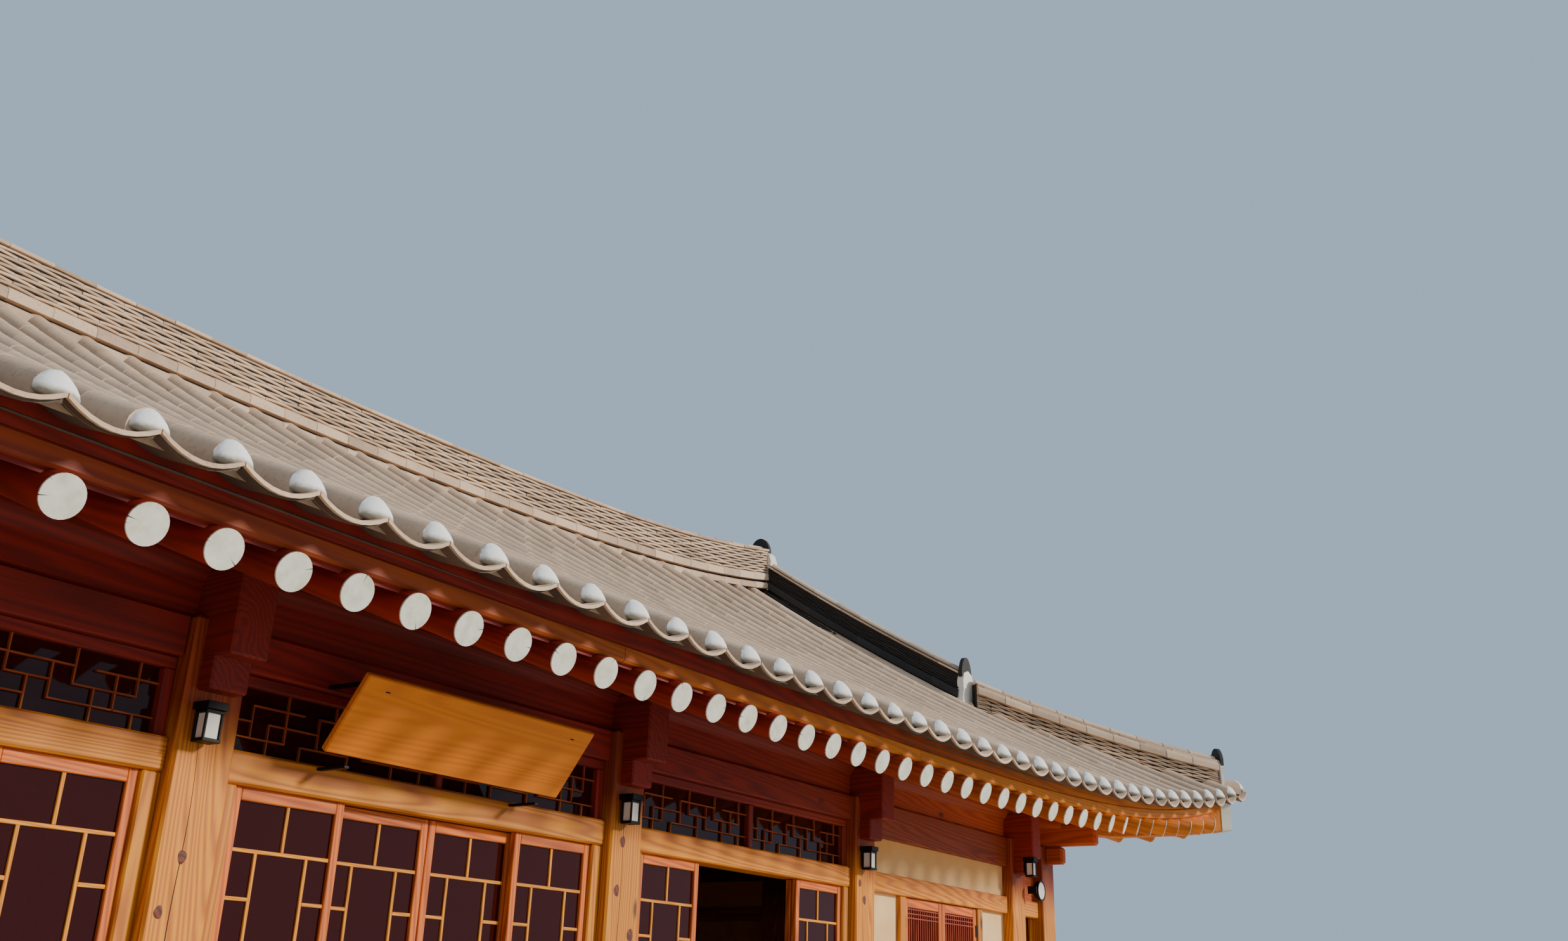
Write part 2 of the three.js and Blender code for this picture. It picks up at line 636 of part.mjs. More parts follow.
// Cross beam at a column pair: stepped block and beam head at each end, posts, collar and king post
const POST = 180;
const COLLAR_LOW = 3900;
const COLLAR_TOP = 4080;
function crossBeam(x, spare) {
  const half = BEAM_WIDTH / 2 + spare;
  const beam = box(x - half, x + half, -ROW_Y - BEAM_REACH - spare, ROW_Y + BEAM_REACH + spare,
    TIE_LOW - spare, BEAM_TOP + spare);
  const blocks = [-1, 1].map((side) => {
    const inner = side * (ROW_Y - BLOCK_REACH - spare);
    const outer = side * (ROW_Y + BLOCK_REACH + spare);
    return box(x - half, x + half, Math.min(inner, outer), Math.max(inner, outer), BLOCK_LOW - spare, TIE_LOW + 10);
  });
  return join([beam, ...blocks]);
}

// Upper part of a roof frame, standing on its cross beam
function upperFrame(x) {
  const half = POST / 2;
  const posts = [-1, 1].map((side) => {
    const y = side * (MID_PURLIN_Y - half);
    return box(x - half, x + half, y - half, y + half, BEAM_TOP - 20, COLLAR_LOW + 20);
  });
  const collar = box(x - half, x + half, -MID_PURLIN_Y - 50, MID_PURLIN_Y + 50, COLLAR_LOW, COLLAR_TOP);
  const king = box(x - half, x + half, -half, half, COLLAR_TOP - 20, KING_TOP);
  return join([...posts, collar, king]);
}

// Purlins inside the roof: one over each row of posts and one under the ridge
const INNER_PURLIN = 95;
const MID_PURLIN_Z = rafterLow(MID_PURLIN_Y + INNER_PURLIN * FLAT_HALF) - INNER_PURLIN * FLAT_TOP - GAP;
const RIDGE_PURLIN_Z = deckHeight(EAVE_Y - INNER_PURLIN * FLAT_HALF, 0) - INNER_PURLIN * FLAT_TOP - GAP;
const KING_TOP = RIDGE_PURLIN_Z;
const innerPurlin = (side, spare) => {
  const y = side * MID_PURLIN_Y;
  const z = side === 0 ? RIDGE_PURLIN_Z : MID_PURLIN_Z;
  const reach = side === 0 ? GABLE_X + 4 : FAN_X - 60;
  return bar([-reach, y, z], [reach, y, z], INNER_PURLIN + spare);
};
['front_mid_purlin', 'ridge_purlin', 'rear_mid_purlin'].forEach((name, i) => {
  place(name, innerPurlin(i - 1, 0), DARK_WOOD);
});
const roomForPurlins = join([-1, 0, 1].map((side) => innerPurlin(side, GAP)));
FRAME_X.forEach((x, i) => {
  const inner = Math.abs(x) < FAN_X;
  const frame = inner ? crossBeam(x, 0).add(upperFrame(x)) : crossBeam(x, 0);
  place(`cross_beam_${i + 1}`, largest(frame.subtract(roomForRing).subtract(roomForPurlins)), DARK_WOOD);
});
const roomForBeams = join(FRAME_X.map((x) => crossBeam(x, GAP)));

// Stone platform with the base stones of the columns
const PLATFORM_OUT = 750;
const BASE_HALF = 215;
const columnSpots = [
  ...FRAME_X, -CORNER_X, CORNER_X].flatMap((x) => [[x, -ROW_Y], [x, ROW_Y]]).concat([[-CORNER_X, 0], [CORNER_X, 0]]);
const baseStones = columnSpots.map(([x, y]) => (
  box(x - BASE_HALF, x + BASE_HALF, y - BASE_HALF, y + BASE_HALF, PLATFORM_TOP - 20, BASE_TOP)));
const platformX = CORNER_X + PLATFORM_OUT;
const platformY = ROW_Y + PLATFORM_OUT;
place('stone_platform', join([
  box(-platformX, platformX, -platformY, platformY, 0, PLATFORM_TOP), ...baseStones]), STONE);

// Timber floor inside the columns, its edge being the sill of the doors
const floorX = CORNER_X + RAIL_OUT;
const floorY = ROW_Y + RAIL_OUT;
const roomForBases = join(columnSpots.map(([x, y]) => (
  box(x - BASE_HALF - GAP, x + BASE_HALF + GAP, y - BASE_HALF - GAP, y + BASE_HALF + GAP, 0, BASE_TOP + 50))));
place('timber_floor', box(-floorX, floorX, -floorY, floorY, PLATFORM_TOP + GAP, FLOOR_TOP)
  .subtract(roomForBases), WOOD);

// Column standing on its base stone, forked at the top for the beam
const column = (x, y) => box(x - HALF_COLUMN, x + HALF_COLUMN, y - HALF_COLUMN, y + HALF_COLUMN,
  BASE_TOP + GAP, TIE_TOP);

// Lantern on the face of a front column, close under the block
function lantern(x) {
  const face = -ROW_Y - HALF_COLUMN;
  const half = LANTERN / 2;
  const body = box(x - half, x + half, face - LANTERN - 15, face - 15, LANTERN_LOW, LANTERN_TOP - 30);
  const cap = box(x - half - 12, x + half + 12, face - LANTERN - 27, face + 1, LANTERN_TOP - 32, LANTERN_TOP);
  const back = box(x - half + 20, x + half - 20, face - 20, face + 1, LANTERN_LOW + 20, LANTERN_TOP - 30);
  return join([body, cap, back]);
}
const frontColumns = FRAME_X.slice(1, 5);
frontColumns.forEach((x, i) => {
  place(`front_column_${i + 1}`, column(x, -ROW_Y).add(lantern(x)).subtract(roomForBeams), WOOD);
});

// Rail and panel in the wall line. Walls are drawn as a front wall at y = 0 with outside at -y.
const rail = (x0, x1, z0, z1) => box(x0, x1, -RAIL_OUT, RAIL_IN, z0, z1);
const WALL_LOW = FLOOR_TOP + GAP;

// Plaster between rails, with window openings at the given places
const WINDOW_HALF = 700;
const WINDOW_POST = 100;
function plasterWall(x0, x1, windows) {
  const plaster = box(x0, x1, -PLASTER_HALF, PLASTER_HALF, WALL_LOW, TIE_TOP);
  const rails = [[WALL_LOW, SILL_TOP], [WAIST_LOW, WAIST_TOP], [HEAD_LOW, HEAD_TOP], [TIE_LOW, TIE_TOP]]
    .map(([low, high]) => rail(x0, x1, low, high));
  const outer = WINDOW_HALF + WINDOW_POST;
  const posts = windows.map((x) => rail(x - outer, x + outer, WAIST_TOP, HEAD_LOW));
  const holes = windows.map((x) => box(x - WINDOW_HALF, x + WINDOW_HALF, -200, 200, WAIST_TOP, HEAD_LOW));
  const wall = join([plaster, ...rails, ...posts]);
  return holes.reduce((sum, hole) => sum.subtract(hole), wall);
}

// Pair of closed shutters in a window opening
function shutters(middle) {
  const half = WINDOW_HALF - GAP;
  return box(middle - half, middle + half, -70, -25, WAIST_TOP + GAP, HEAD_LOW - GAP);
}

// Narrow bay between the last frame and the corner column, closed with dark glass
function narrowBay(x0, x1) {
  const glass = box(x0, x1, -GLASS_HALF, GLASS_HALF, WALL_LOW, TIE_TOP);
  return join([
    glass, rail(x0, x1, WALL_LOW, SILL_TOP), rail(x0, x1, HEAD_LOW, HEAD_TOP), rail(x0, x1, TIE_LOW, TIE_TOP),
    box(x0, x1, -PLASTER_HALF, PLASTER_HALF, HEAD_TOP, TIE_LOW),
  ]);
}

// Window bays of the front
const toFront = (body) => body.translate([0, -ROW_Y, 0]);
const bayEdges = (i) => [FRAME_X[i] + HALF_COLUMN + GAP, FRAME_X[i + 1] - HALF_COLUMN - GAP];
[['left', 0], ['right', 4]].forEach(([side, i]) => {
  const middle = (FRAME_X[i] + FRAME_X[i + 1]) / 2;
  place(`${side}_window_bay`, toFront(plasterWall(...bayEdges(i), [middle])), PLASTER);
  place(`${side}_window_shutters`, toFront(shutters(middle)), WOOD);
});

// Narrow end bays with both of their columns
function endBay() {
  const glazed = toFront(narrowBay(FRAME_X[5] + HALF_COLUMN - 5, CORNER_X - HALF_COLUMN + 5));
  const last = column(FRAME_X[5], -ROW_Y).add(lantern(FRAME_X[5]));
  return join([last, glazed, column(CORNER_X, -ROW_Y)]).subtract(roomForBeams);
}
const rightEnd = endBay();
place('right_end_bay', rightEnd, WOOD);
place('left_end_bay', rightEnd.mirror([1, 0, 0]), WOOD);

// Rear wall: all its columns and plaster, with a shuttered window in every other bay
const REAR_WINDOWS = [-2 * BAY, 0, 2 * BAY];
function rearWall() {
  const wall = plasterWall(-CORNER_X, CORNER_X, REAR_WINDOWS);
  const leaves = REAR_WINDOWS.map((x) => box(x - WINDOW_HALF, x + WINDOW_HALF, -70, -25, WAIST_TOP, HEAD_LOW));
  const columns = [...FRAME_X, -CORNER_X, CORNER_X].map((x) => column(x, 0));
  return join([wall, ...leaves, ...columns]);
}
place('rear_wall', halfTurn(rearWall()).translate([0, ROW_Y, 0]).subtract(roomForBeams), PLASTER);

// Side wall: two plain bays and their middle column between the corner columns
const SIDE_NEAR = ROW_Y - HALF_COLUMN - GAP;
const rightWall = plasterWall(-SIDE_NEAR, SIDE_NEAR, []).add(column(0, 0)).rotate([0, 0, 90])
  .translate([CORNER_X, 0, 0]);
place('right_wall', rightWall, PLASTER);
place('left_wall', halfTurn(rightWall), PLASTER);

// Head of a door bay: door head, fretwork light above it and tie beam
function doorHead(x0, x1) {
  const middle = (x0 + x1) / 2;
  const light = box(x0, x1, -30, -10, HEAD_TOP - 5, TIE_LOW + 5);
  const frame = [[x0, x0 + TRANSOM_FRAME], [middle - 25, middle + 25], [x1 - TRANSOM_FRAME, x1]];
  const posts = frame.map(([a, b]) => box(a, b, -60, 20, HEAD_TOP - 5, TIE_LOW + 5));
  const top = box(x0, x1, -60, 20, TIE_LOW - TRANSOM_FRAME, TIE_LOW + 5);
  return join([rail(x0, x1, HEAD_LOW, HEAD_TOP), light, ...posts, top, rail(x0, x1, TIE_LOW, TIE_TOP)]);
}

// Glazed leaf between two heights, its outer face at a given distance out from the wall line
function leaf(x0, x1, out, z0, z1) {
  const whole = box(x0, x1, -out, -out + LEAF_THICK, z0, z1);
  const hole = box(x0 + STILE, x1 - STILE, -out - 10, -out + LEAF_THICK + 10, z0 + 2 * STILE, z1 - STILE);
  const middle = -out + LEAF_THICK / 2;
  const glass = box(x0 + 5, x1 - 5, middle - GLASS_HALF, middle + GLASS_HALF, z0 + 5, z1 - 5);
  return whole.subtract(hole).add(glass);
}

// Jamb with the fixed leaf beside it. Side is -1 at the left of the doorway and 1 at its right.
function fixedSide(x0, x1, side) {
  const edge = side < 0 ? x0 : x1;
  const inner = edge - side * JAMB;
  const far = inner - side * LEAF_WIDTH;
  const z0 = WALL_LOW;
  const z1 = HEAD_LOW - GAP;
  const jamb = box(Math.min(edge, inner), Math.max(edge, inner), -RAIL_OUT + 10, RAIL_IN, z0, z1);
  return jamb.add(leaf(Math.min(inner + side * 5, far), Math.max(inner + side * 5, far), OUTER_LEAF_OUT, z0, z1));
}

// Sliding leaf on one side of a doorway, shut or slid open behind its fixed leaf
function slidingLeaf(middle, side, open) {
  const shift = middle + side * (MEETING_HALF + (open ? SLIDE : 0));
  const far = shift + side * LEAF_WIDTH;
  return leaf(Math.min(shift, far), Math.max(shift, far), INNER_LEAF_OUT, FLOOR_TOP + GAP, HEAD_LOW - LEAF_CLEAR);
}

// The two door bays
[['entrance', 2, false], ['doorway', 3, true]].forEach(([name, i, open]) => {
  const [x0, x1] = bayEdges(i);
  const middle = (x0 + x1) / 2;
  place(`${name}_head`, toFront(doorHead(x0, x1)), WOOD);
  place(`${name}_fixed_left`, toFront(fixedSide(x0, x1, -1)), WOOD);
  place(`${name}_fixed_right`, toFront(fixedSide(x0, x1, 1)), WOOD);
  place(`${name}_leaf_left`, toFront(slidingLeaf(middle, -1, open)), WOOD);
  place(`${name}_leaf_right`, toFront(slidingLeaf(middle, 1, open)), WOOD);
});

// Glazed bay left of the entrance, with its leaves shut
function glazedBay(x0, x1) {
  const middle = (x0 + x1) / 2;
  const leaves = [-1, 1].map((side) => {
    const far = middle + side * (LEAF_WIDTH + 1);
    const z0 = FLOOR_TOP + GAP;
    return leaf(Math.min(middle - side, far), Math.max(middle - side, far), OUTER_LEAF_OUT - LEAF_THICK + 5, z0,
      HEAD_LOW + 5);
  });
  return join([doorHead(x0, x1), fixedSide(x0, x1, -1), fixedSide(x0, x1, 1), ...leaves,
    rail(x0, x1, HEAD_LOW - 4, HEAD_TOP)]);
}
place('glazed_bay', toFront(glazedBay(...bayEdges(1))), WOOD);

// Bare name board, hung from the tie beam over the entrance and leaning forward
const BOARD_WIDTH = 1640;
const BOARD_HEIGHT = 420;
const BOARD_THICK = 40;
const BOARD_LEAN = 36;
const BOARD_FOOT = [-160, -3300, 2644];
function nameBoard() {
  const sheet = box(-BOARD_WIDTH / 2, BOARD_WIDTH / 2, 0, BOARD_THICK, 0, BOARD_HEIGHT).rotate([BOARD_LEAN, 0, 0])
    .translate(BOARD_FOOT);
  const face = -ROW_Y - RAIL_OUT - GAP;
  const irons = [-1, 1].flatMap((side) => {
    const x = BOARD_FOOT[0] + side * (BOARD_WIDTH / 2 - 150);
    return [
      box(x - 20, x + 20, BOARD_FOOT[1] - 200, face, TIE_LOW + 5, TIE_LOW + 30),
      box(x - 20, x + 20, BOARD_FOOT[1] - 215, BOARD_FOOT[1] - 180, TIE_LOW - 50, TIE_LOW + 30),
      box(x - 20, x + 20, BOARD_FOOT[1] + 5, face, HEAD_TOP - 30, HEAD_TOP + 50),
    ];
  });
  return join([sheet, ...irons]);
}
place('name_board', nameBoard(), WOOD);

export default house;
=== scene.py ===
import bpy
import numpy as np
from mathutils import Matrix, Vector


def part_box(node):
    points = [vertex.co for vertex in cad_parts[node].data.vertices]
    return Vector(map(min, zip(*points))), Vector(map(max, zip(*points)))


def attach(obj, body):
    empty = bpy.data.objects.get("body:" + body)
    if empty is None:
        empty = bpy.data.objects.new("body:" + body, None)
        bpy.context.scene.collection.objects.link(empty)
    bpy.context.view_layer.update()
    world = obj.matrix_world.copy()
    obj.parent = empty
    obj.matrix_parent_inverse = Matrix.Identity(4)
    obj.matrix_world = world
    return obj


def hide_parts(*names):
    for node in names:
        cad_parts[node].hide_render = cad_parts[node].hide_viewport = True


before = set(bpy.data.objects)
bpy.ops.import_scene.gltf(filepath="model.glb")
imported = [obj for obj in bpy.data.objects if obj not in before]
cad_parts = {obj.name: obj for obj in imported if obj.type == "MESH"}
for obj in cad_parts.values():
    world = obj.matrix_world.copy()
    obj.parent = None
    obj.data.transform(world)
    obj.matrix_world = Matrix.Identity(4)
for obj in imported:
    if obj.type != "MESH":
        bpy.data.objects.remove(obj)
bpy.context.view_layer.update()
draw = np.random.default_rng(11)
print("frame loaded:", len(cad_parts), "nodes")

upright = np.array([0, 0, 1.0])


def unit(vectors):
    # each vector divided by its own length
    return vectors / np.linalg.norm(vectors, axis=-1, keepdims=True)


def circle(count):
    return np.linspace(0, 2 * np.pi, count, endpoint=False)


view = {"place": (-5.35, -8.60, 1.60), "right": (0.5306, -0.8469, 0.0275), "up": (-0.3179, -0.1689, 0.9329),
        "lens": 31.93, "sensor": 36.0, "clip": 200}


def turned(axes, place=(0, 0, 0)):
    # matrix with the three axes as its columns, then the place
    return Matrix([[axis[i] for axis in axes] + [place[i]] for i in range(3)] + [[0, 0, 0, 1]])


def makeCamera():
    # the camera's up is made square to its right, and its back is the cross product of both
    right = unit(np.array(view["right"]))
    high = unit(np.array(view["up"]) - right * np.dot(view["up"], right))
    camera = bpy.data.objects.new("camera", bpy.data.cameras.new("camera"))
    camera.data.lens = view["lens"]
    camera.data.sensor_width = view["sensor"]
    camera.data.clip_end = view["clip"]
    camera.matrix_world = turned((right, high, np.cross(right, high)), view["place"])
    bpy.context.scene.collection.objects.link(camera)
    bpy.context.scene.camera = camera


studio = {"floor": "#d6cbba", "floorHalf": 60.0, "floorRough": 0.9, "sky": (0.60, 0.79, 1.0, 1),
          "skyPower": 0.65, "toSun": (0.50, -0.866, 0.400), "sunPower": 3.9, "sunTint": (1.0, 0.92, 0.80),
          "sunSoft": 0.16}


def linear(code):
    # hex colour to linear light: the sRGB curve applied to each channel
    shares = [int(code[i:i + 2], 16) / 255 for i in (1, 3, 5)]
    return tuple(s / 12.92 if s <= 0.04045 else ((s + 0.055) / 1.055) ** 2.4 for s in shares)


def rgba(code):
    return (*linear(code), 1.0)


def startMaterial(name):
    mat = bpy.data.materials.new(name)
    mat.use_nodes = True
    return mat, mat.node_tree, mat.node_tree.nodes["Principled BSDF"]


def makeStudio():
    # floor, even sky and one sun: its frame is the unit vector toward it, and two square to that
    half = studio["floorHalf"]
    mesh = bpy.data.meshes.new("floor")
    mesh.from_pydata([(-half, -half, 0), (half, -half, 0), (half, half, 0), (-half, half, 0)], [],
                     [(0, 1, 2, 3)])
    floor = bpy.data.objects.new("floor", mesh)
    bpy.context.scene.collection.objects.link(floor)
    floorPaint, _, shader = startMaterial("floorPaint")
    shader.inputs["Base Color"].default_value = rgba(studio["floor"])
    shader.inputs["Roughness"].default_value = studio["floorRough"]
    mesh.materials.append(floorPaint)
    world = bpy.data.worlds.new("studio")
    world.use_nodes = True
    world.node_tree.nodes["Background"].inputs["Color"].default_value = studio["sky"]
    world.node_tree.nodes["Background"].inputs["Strength"].default_value = studio["skyPower"]
    bpy.context.scene.world = world
    sun = bpy.data.objects.new("sun", bpy.data.lights.new("sun", "SUN"))
    sun.data.energy = studio["sunPower"]
    sun.data.angle = studio["sunSoft"]
    sun.data.color = studio["sunTint"]
    back = unit(np.array(studio["toSun"]))
    side = unit(np.cross(upright, back))
    sun.matrix_world = turned((side, np.cross(back, side), back))
    bpy.context.scene.collection.objects.link(sun)


makeCamera()
makeStudio()
print("camera and light are set")


def feed(tree, socket, value):
    # a socket takes a link from another socket, or a constant
    if isinstance(value, bpy.types.NodeSocket):
        tree.links.new(value, socket)
    else:
        socket.default_value = value


def put(tree, kind, settings=None, **sockets):
    # one node with its settings; its sockets go by name, or by number after an n
    node = tree.nodes.new("ShaderNode" + kind)
    for key, value in (settings or {}).items():
        setattr(node, key, value)
    for key, value in sockets.items():
        numbered = key[0] == "n" and key[1:].isdigit()
        feed(tree, node.inputs[int(key[1:]) if numbered else key.replace("_", " ")], value)
    return node


def ramp(tree, factor, stops):
    # colour ramp from (place, colour) stops
    node = put(tree, "ValToRGB", Fac=factor)
    ends = node.color_ramp.elements
    while len(ends) < len(stops):
        ends.new(0.5)
    for element, (place, colour) in zip(ends, stops):
        element.position = place
        element.color = (*colour, 1)
    return node.outputs["Color"]


def shades(tree, factor, places, codes):
    return ramp(tree, factor, [(place, linear(code)) for place, code in zip(places, codes)])


def mask(tree, factor, low, high, first=0.0, last=1.0):
    # grey that goes from the first value at low to the last value at high
    return ramp(tree, factor, [(low, (first,) * 3), (high, (last,) * 3)])


def mixed(tree, factor, first, second, how="MIX"):
    node = {"data_type": "RGBA", "blend_type": how}
    return put(tree, "Mix", node, n0=factor, n6=first, n7=second).outputs[2]


def maths(tree, how, first, second=0.0, third=0.0):
    return put(tree, "Math", {"operation": how}, n0=first, n1=second, n2=third).outputs[0]


def stretched(tree, vector, scale):
    return put(tree, "Mapping", Vector=vector, Scale=scale).outputs[0]


def noise(tree, vector, scale, detail=4.0, rough=0.55, output="Fac"):
    return put(tree, "TexNoise", Vector=vector, Scale=scale, Detail=detail, Roughness=rough).outputs[output]


def attribute(tree, name, output="Fac"):
    return put(tree, "Attribute", {"attribute_name": name}).outputs[output]


def objectPlace(tree):
    return put(tree, "TexCoord").outputs["Object"]


def between(tree, axis, ends, how="LINEAR"):
    # share of the way from one value of an object coordinate to another
    along = put(tree, "SeparateXYZ", Vector=objectPlace(tree)).outputs[axis]
    settings = {"clamp": True, "interpolation_type": how}
    return put(tree, "MapRange", settings, n0=along, n1=ends[0], n2=ends[1]).outputs[0]


def finish(material, colour, rough, relief, strength, depth):
    # what every finish sets: colour, roughness, and a bump of some strength and depth from its relief
    mat, tree, shader = material
    feed(tree, shader.inputs["Base Color"], colour)
    feed(tree, shader.inputs["Roughness"], rough)
    raised = put(tree, "Bump", Strength=strength, Distance=depth, Height=relief).outputs[0]
    tree.links.new(raised, shader.inputs["Normal"])
    return mat


# Fibre coordinates of the mesh stretched for each pattern: along the fibres first, then across them
grainScale = {"rings": (0.06, 1, 1), "fibre": (1.6, 60, 60), "broad": (0.5, 3, 3), "knots": (0.95, 1.9, 1.9)}
ringStops = (0.0, 0.45, 1.0)
# red tint that paints the eaves' shadow onto the upper timber
paintedShadeTint = (0.46, 0.19, 0.10, 1)


def wood(name, spec):
    # growth bands: a wave across the fibres, bent by noise; fibres: noise
    # stretched along; knots: cells of a Voronoi. Wood with painted shade reddens between
    # two heights toward the eaves, where their shadow falls, and wood with painted light
    # turns golden toward +x along the house, lit tones standing in for the sunlight there.
    material = startMaterial(name)
    tree = material[1]
    grain = {key: stretched(tree, attribute(tree, "grain", "Vector"), scale)
             for key, scale in grainScale.items()}
    bend = noise(tree, grain["rings"], 3.0, 2.0, output="Color")
    bent = put(tree, "VectorMath", {"operation": "MULTIPLY_ADD"}, n0=bend, n1=(spec["bend"],) * 3,
               n2=grain["rings"])
    bands = put(tree, "TexWave", {"bands_direction": "DIAGONAL"}, Vector=bent.outputs[0], Scale=spec["rings"],
                Distortion=2.0, Detail=2.0, Detail_Scale=1.5).outputs["Fac"]
    fibre = noise(tree, grain["fibre"], 1.0, 5.0, 0.62)
    broad = noise(tree, grain["broad"], 1.3, 3.0)
    cells = put(tree, "TexVoronoi", Vector=grain["knots"], Scale=1.0).outputs["Distance"]
    body = shades(tree, bands, ringStops, spec["tones"])
    deep = rgba(spec["tones"][0])
    # painted light: toward +x the shaded tones give way to lit orange tones, as the timber looks lit there
    if "paintedLightX" in spec:
        paintedLightShare = between(tree, "X", spec["paintedLightX"], "SMOOTHSTEP")
        body = mixed(tree, paintedLightShare, body, shades(tree, bands, ringStops, spec["paintedLightTones"]))
        deep = mixed(tree, paintedLightShare, deep, rgba(spec["paintedLightTones"][0]))
    streaked = mixed(tree, mask(tree, fibre, 0.35, 0.62, 1, 0), body, deep)
    soft = mixed(tree, spec["fibre"], body, streaked)
    patched = mixed(tree, mask(tree, broad, 0.35, 0.7, 0, 0.4), soft, body)
    value = maths(tree, "MULTIPLY_ADD", attribute(tree, "tone"), 0.35, 0.85)
    toned = put(tree, "HueSaturation", Color=patched, Value=value).outputs[0]
    knot = maths(tree, "MULTIPLY", mask(tree, cells, 0.03, 0.075, 1, 0), spec["knots"])
    colour = mixed(tree, knot, toned, rgba(spec["knot"]))
    # painted shade: between two heights the colour is multiplied by the red tint, for the shadow under the
    # eaves
    if "paintedShadeZ" in spec:
        paintedShadeColour = mixed(tree, 1.0, colour, paintedShadeTint, "MULTIPLY")
        colour = mixed(tree, between(tree, "Z", spec["paintedShadeZ"]), colour, paintedShadeColour)
    rough = maths(tree, "MULTIPLY_ADD", fibre, 0.3, spec["rough"])
    relief = maths(tree, "MULTIPLY_ADD", bands, 0.3, fibre)
    return finish(material, colour, rough, relief, 0.35, 0.004)


# Tones run dark, middle, light. The sun pine is sunlit; the eave, rafter and shade pines are the same
# pine in painted shade, and their second tones along x are painted light
woods = {
    "sun": {"tones": ("#ae6000", "#cc7a00", "#dc8c00"), "knot": "#431402", "rings": 20.0, "bend": 0.35,
            "fibre": 0.35, "knots": 0.9, "rough": 0.45, "paintedShadeZ": (2.50, 2.78)},
    "eave": {"tones": ("#842a02", "#963602", "#a23e02"), "knot": "#2a0a02", "rings": 14.0, "bend": 0.35,
             "fibre": 0.4, "knots": 0.8, "rough": 0.45, "paintedLightX": (-3.0, 6.0),
             "paintedLightTones": ("#d47602", "#e68602", "#f09204")},
    "rafter": {"tones": ("#741002", "#861602", "#941a02"), "knot": "#1c0402", "rings": 12.0, "bend": 0.4,
               "fibre": 0.4, "knots": 0.9, "rough": 0.5, "paintedLightX": (1.0, 8.2),
               "paintedLightTones": ("#c66a02", "#da7802", "#e68404")},
    "shade": {"tones": ("#721002", "#841602", "#921a02"), "knot": "#1c0402", "rings": 12.0, "bend": 0.4,
              "fibre": 0.4, "knots": 0.9, "rough": 0.5, "paintedLightX": (2.0, 9.0),
              "paintedLightTones": ("#b24602", "#c45402", "#d05e02")},
    "door": {"tones": ("#ac4a00", "#d06200", "#e07200"), "knot": "#401006", "rings": 22.0, "bend": 0.2,
             "fibre": 0.4, "knots": 0.3, "rough": 0.42},
    "pale": {"tones": ("#bc6c08", "#da8812", "#e89a1c"), "knot": "#6a300f", "rings": 40.0, "bend": 0.1,
             "fibre": 0.4, "knots": 0.0, "rough": 0.5, "paintedShadeZ": (2.55, 2.70)},
    "board": {"tones": ("#d27200", "#da7a00", "#e08000"), "knot": "#7a3008", "rings": 10.0, "bend": 0.6,
              "fibre": 0.3, "knots": 0.1, "rough": 0.42},
}
sunWood = wood("sunlitPine", woods["sun"])
# the same pine in painted shade: dark red for the eaves, rafters, beams and other parts under the roof
shadedEaveWood = wood("shadedEavePine", woods["eave"])
shadedRafterWood = wood("shadedRafterPine", woods["rafter"])
knotWood = wood("knotPine", {**woods["sun"], "tones": ("#401200", "#5e2000", "#7e3200"), "rings": 5.0})
shadedBeamWood = wood("shadedBeamPine", {**woods["shade"], "paintedLightX": (6.0, 16.0)})
latticeWood = wood("latticePine", {**woods["door"], "tones": ("#7a2002", "#962e02", "#a83c02")})
shadeWood = wood("paintedShadePine", woods["shade"])
doorWood = wood("doorPine", woods["door"])
paleWood = wood("palePine", woods["pale"])
# near-black pine: the drying cracks, and the scalloped board as painted shade
crackAndShadeWood = wood("splitAndShadePine", {**woods["shade"], "tones": ("#140502", "#200903", "#2c0d05")})
boardWood = wood("nameBoardPine", woods["board"])
print("wood is ready")


def plaster(name, spec):
    # lime plaster: cream with a soft cloud of darker and lighter patches, fine sand in the bump; with a
    # painted glow, it turns toward an orange between two heights: warm light under the eaves painted into it
    material = startMaterial(name)
    tree = material[1]
    place = objectPlace(tree)
    cloud = noise(tree, place, 1.4, 5.0, 0.6)
    sand = noise(tree, place, 90.0, 3.0, 0.7)
    trowel = noise(tree, stretched(tree, place, (2.0, 2.0, 9.0)), 2.0, 3.0)
    body = shades(tree, cloud, (0.3, 0.55, 0.8), spec["tones"])
    colour = mixed(tree, mask(tree, trowel, 0.55, 0.8, 0, 0.35), body, rgba(spec["tones"][0]))
    if "paintedGlow" in spec:
        # painted light: the orange glow grows between two heights
        share = maths(tree, "MULTIPLY", between(tree, "Z", spec["paintedGlowZ"]), 0.85)
        colour = mixed(tree, share, colour, rgba(spec["paintedGlow"]))
    return finish(material, colour, 0.92, maths(tree, "MULTIPLY_ADD", trowel, 2.0, sand), 0.3, 0.003)


creamPlaster = plaster("creamPlaster", {"tones": ("#dcae72", "#f0cc95", "#f7dcae"), "paintedGlow": "#f0a648",
                                        "paintedGlowZ": (2.55, 3.0)})
ridgePlaster = plaster("ridgePlaster", {"tones": ("#c9c0b2", "#ebe5da", "#f6f2ea")})


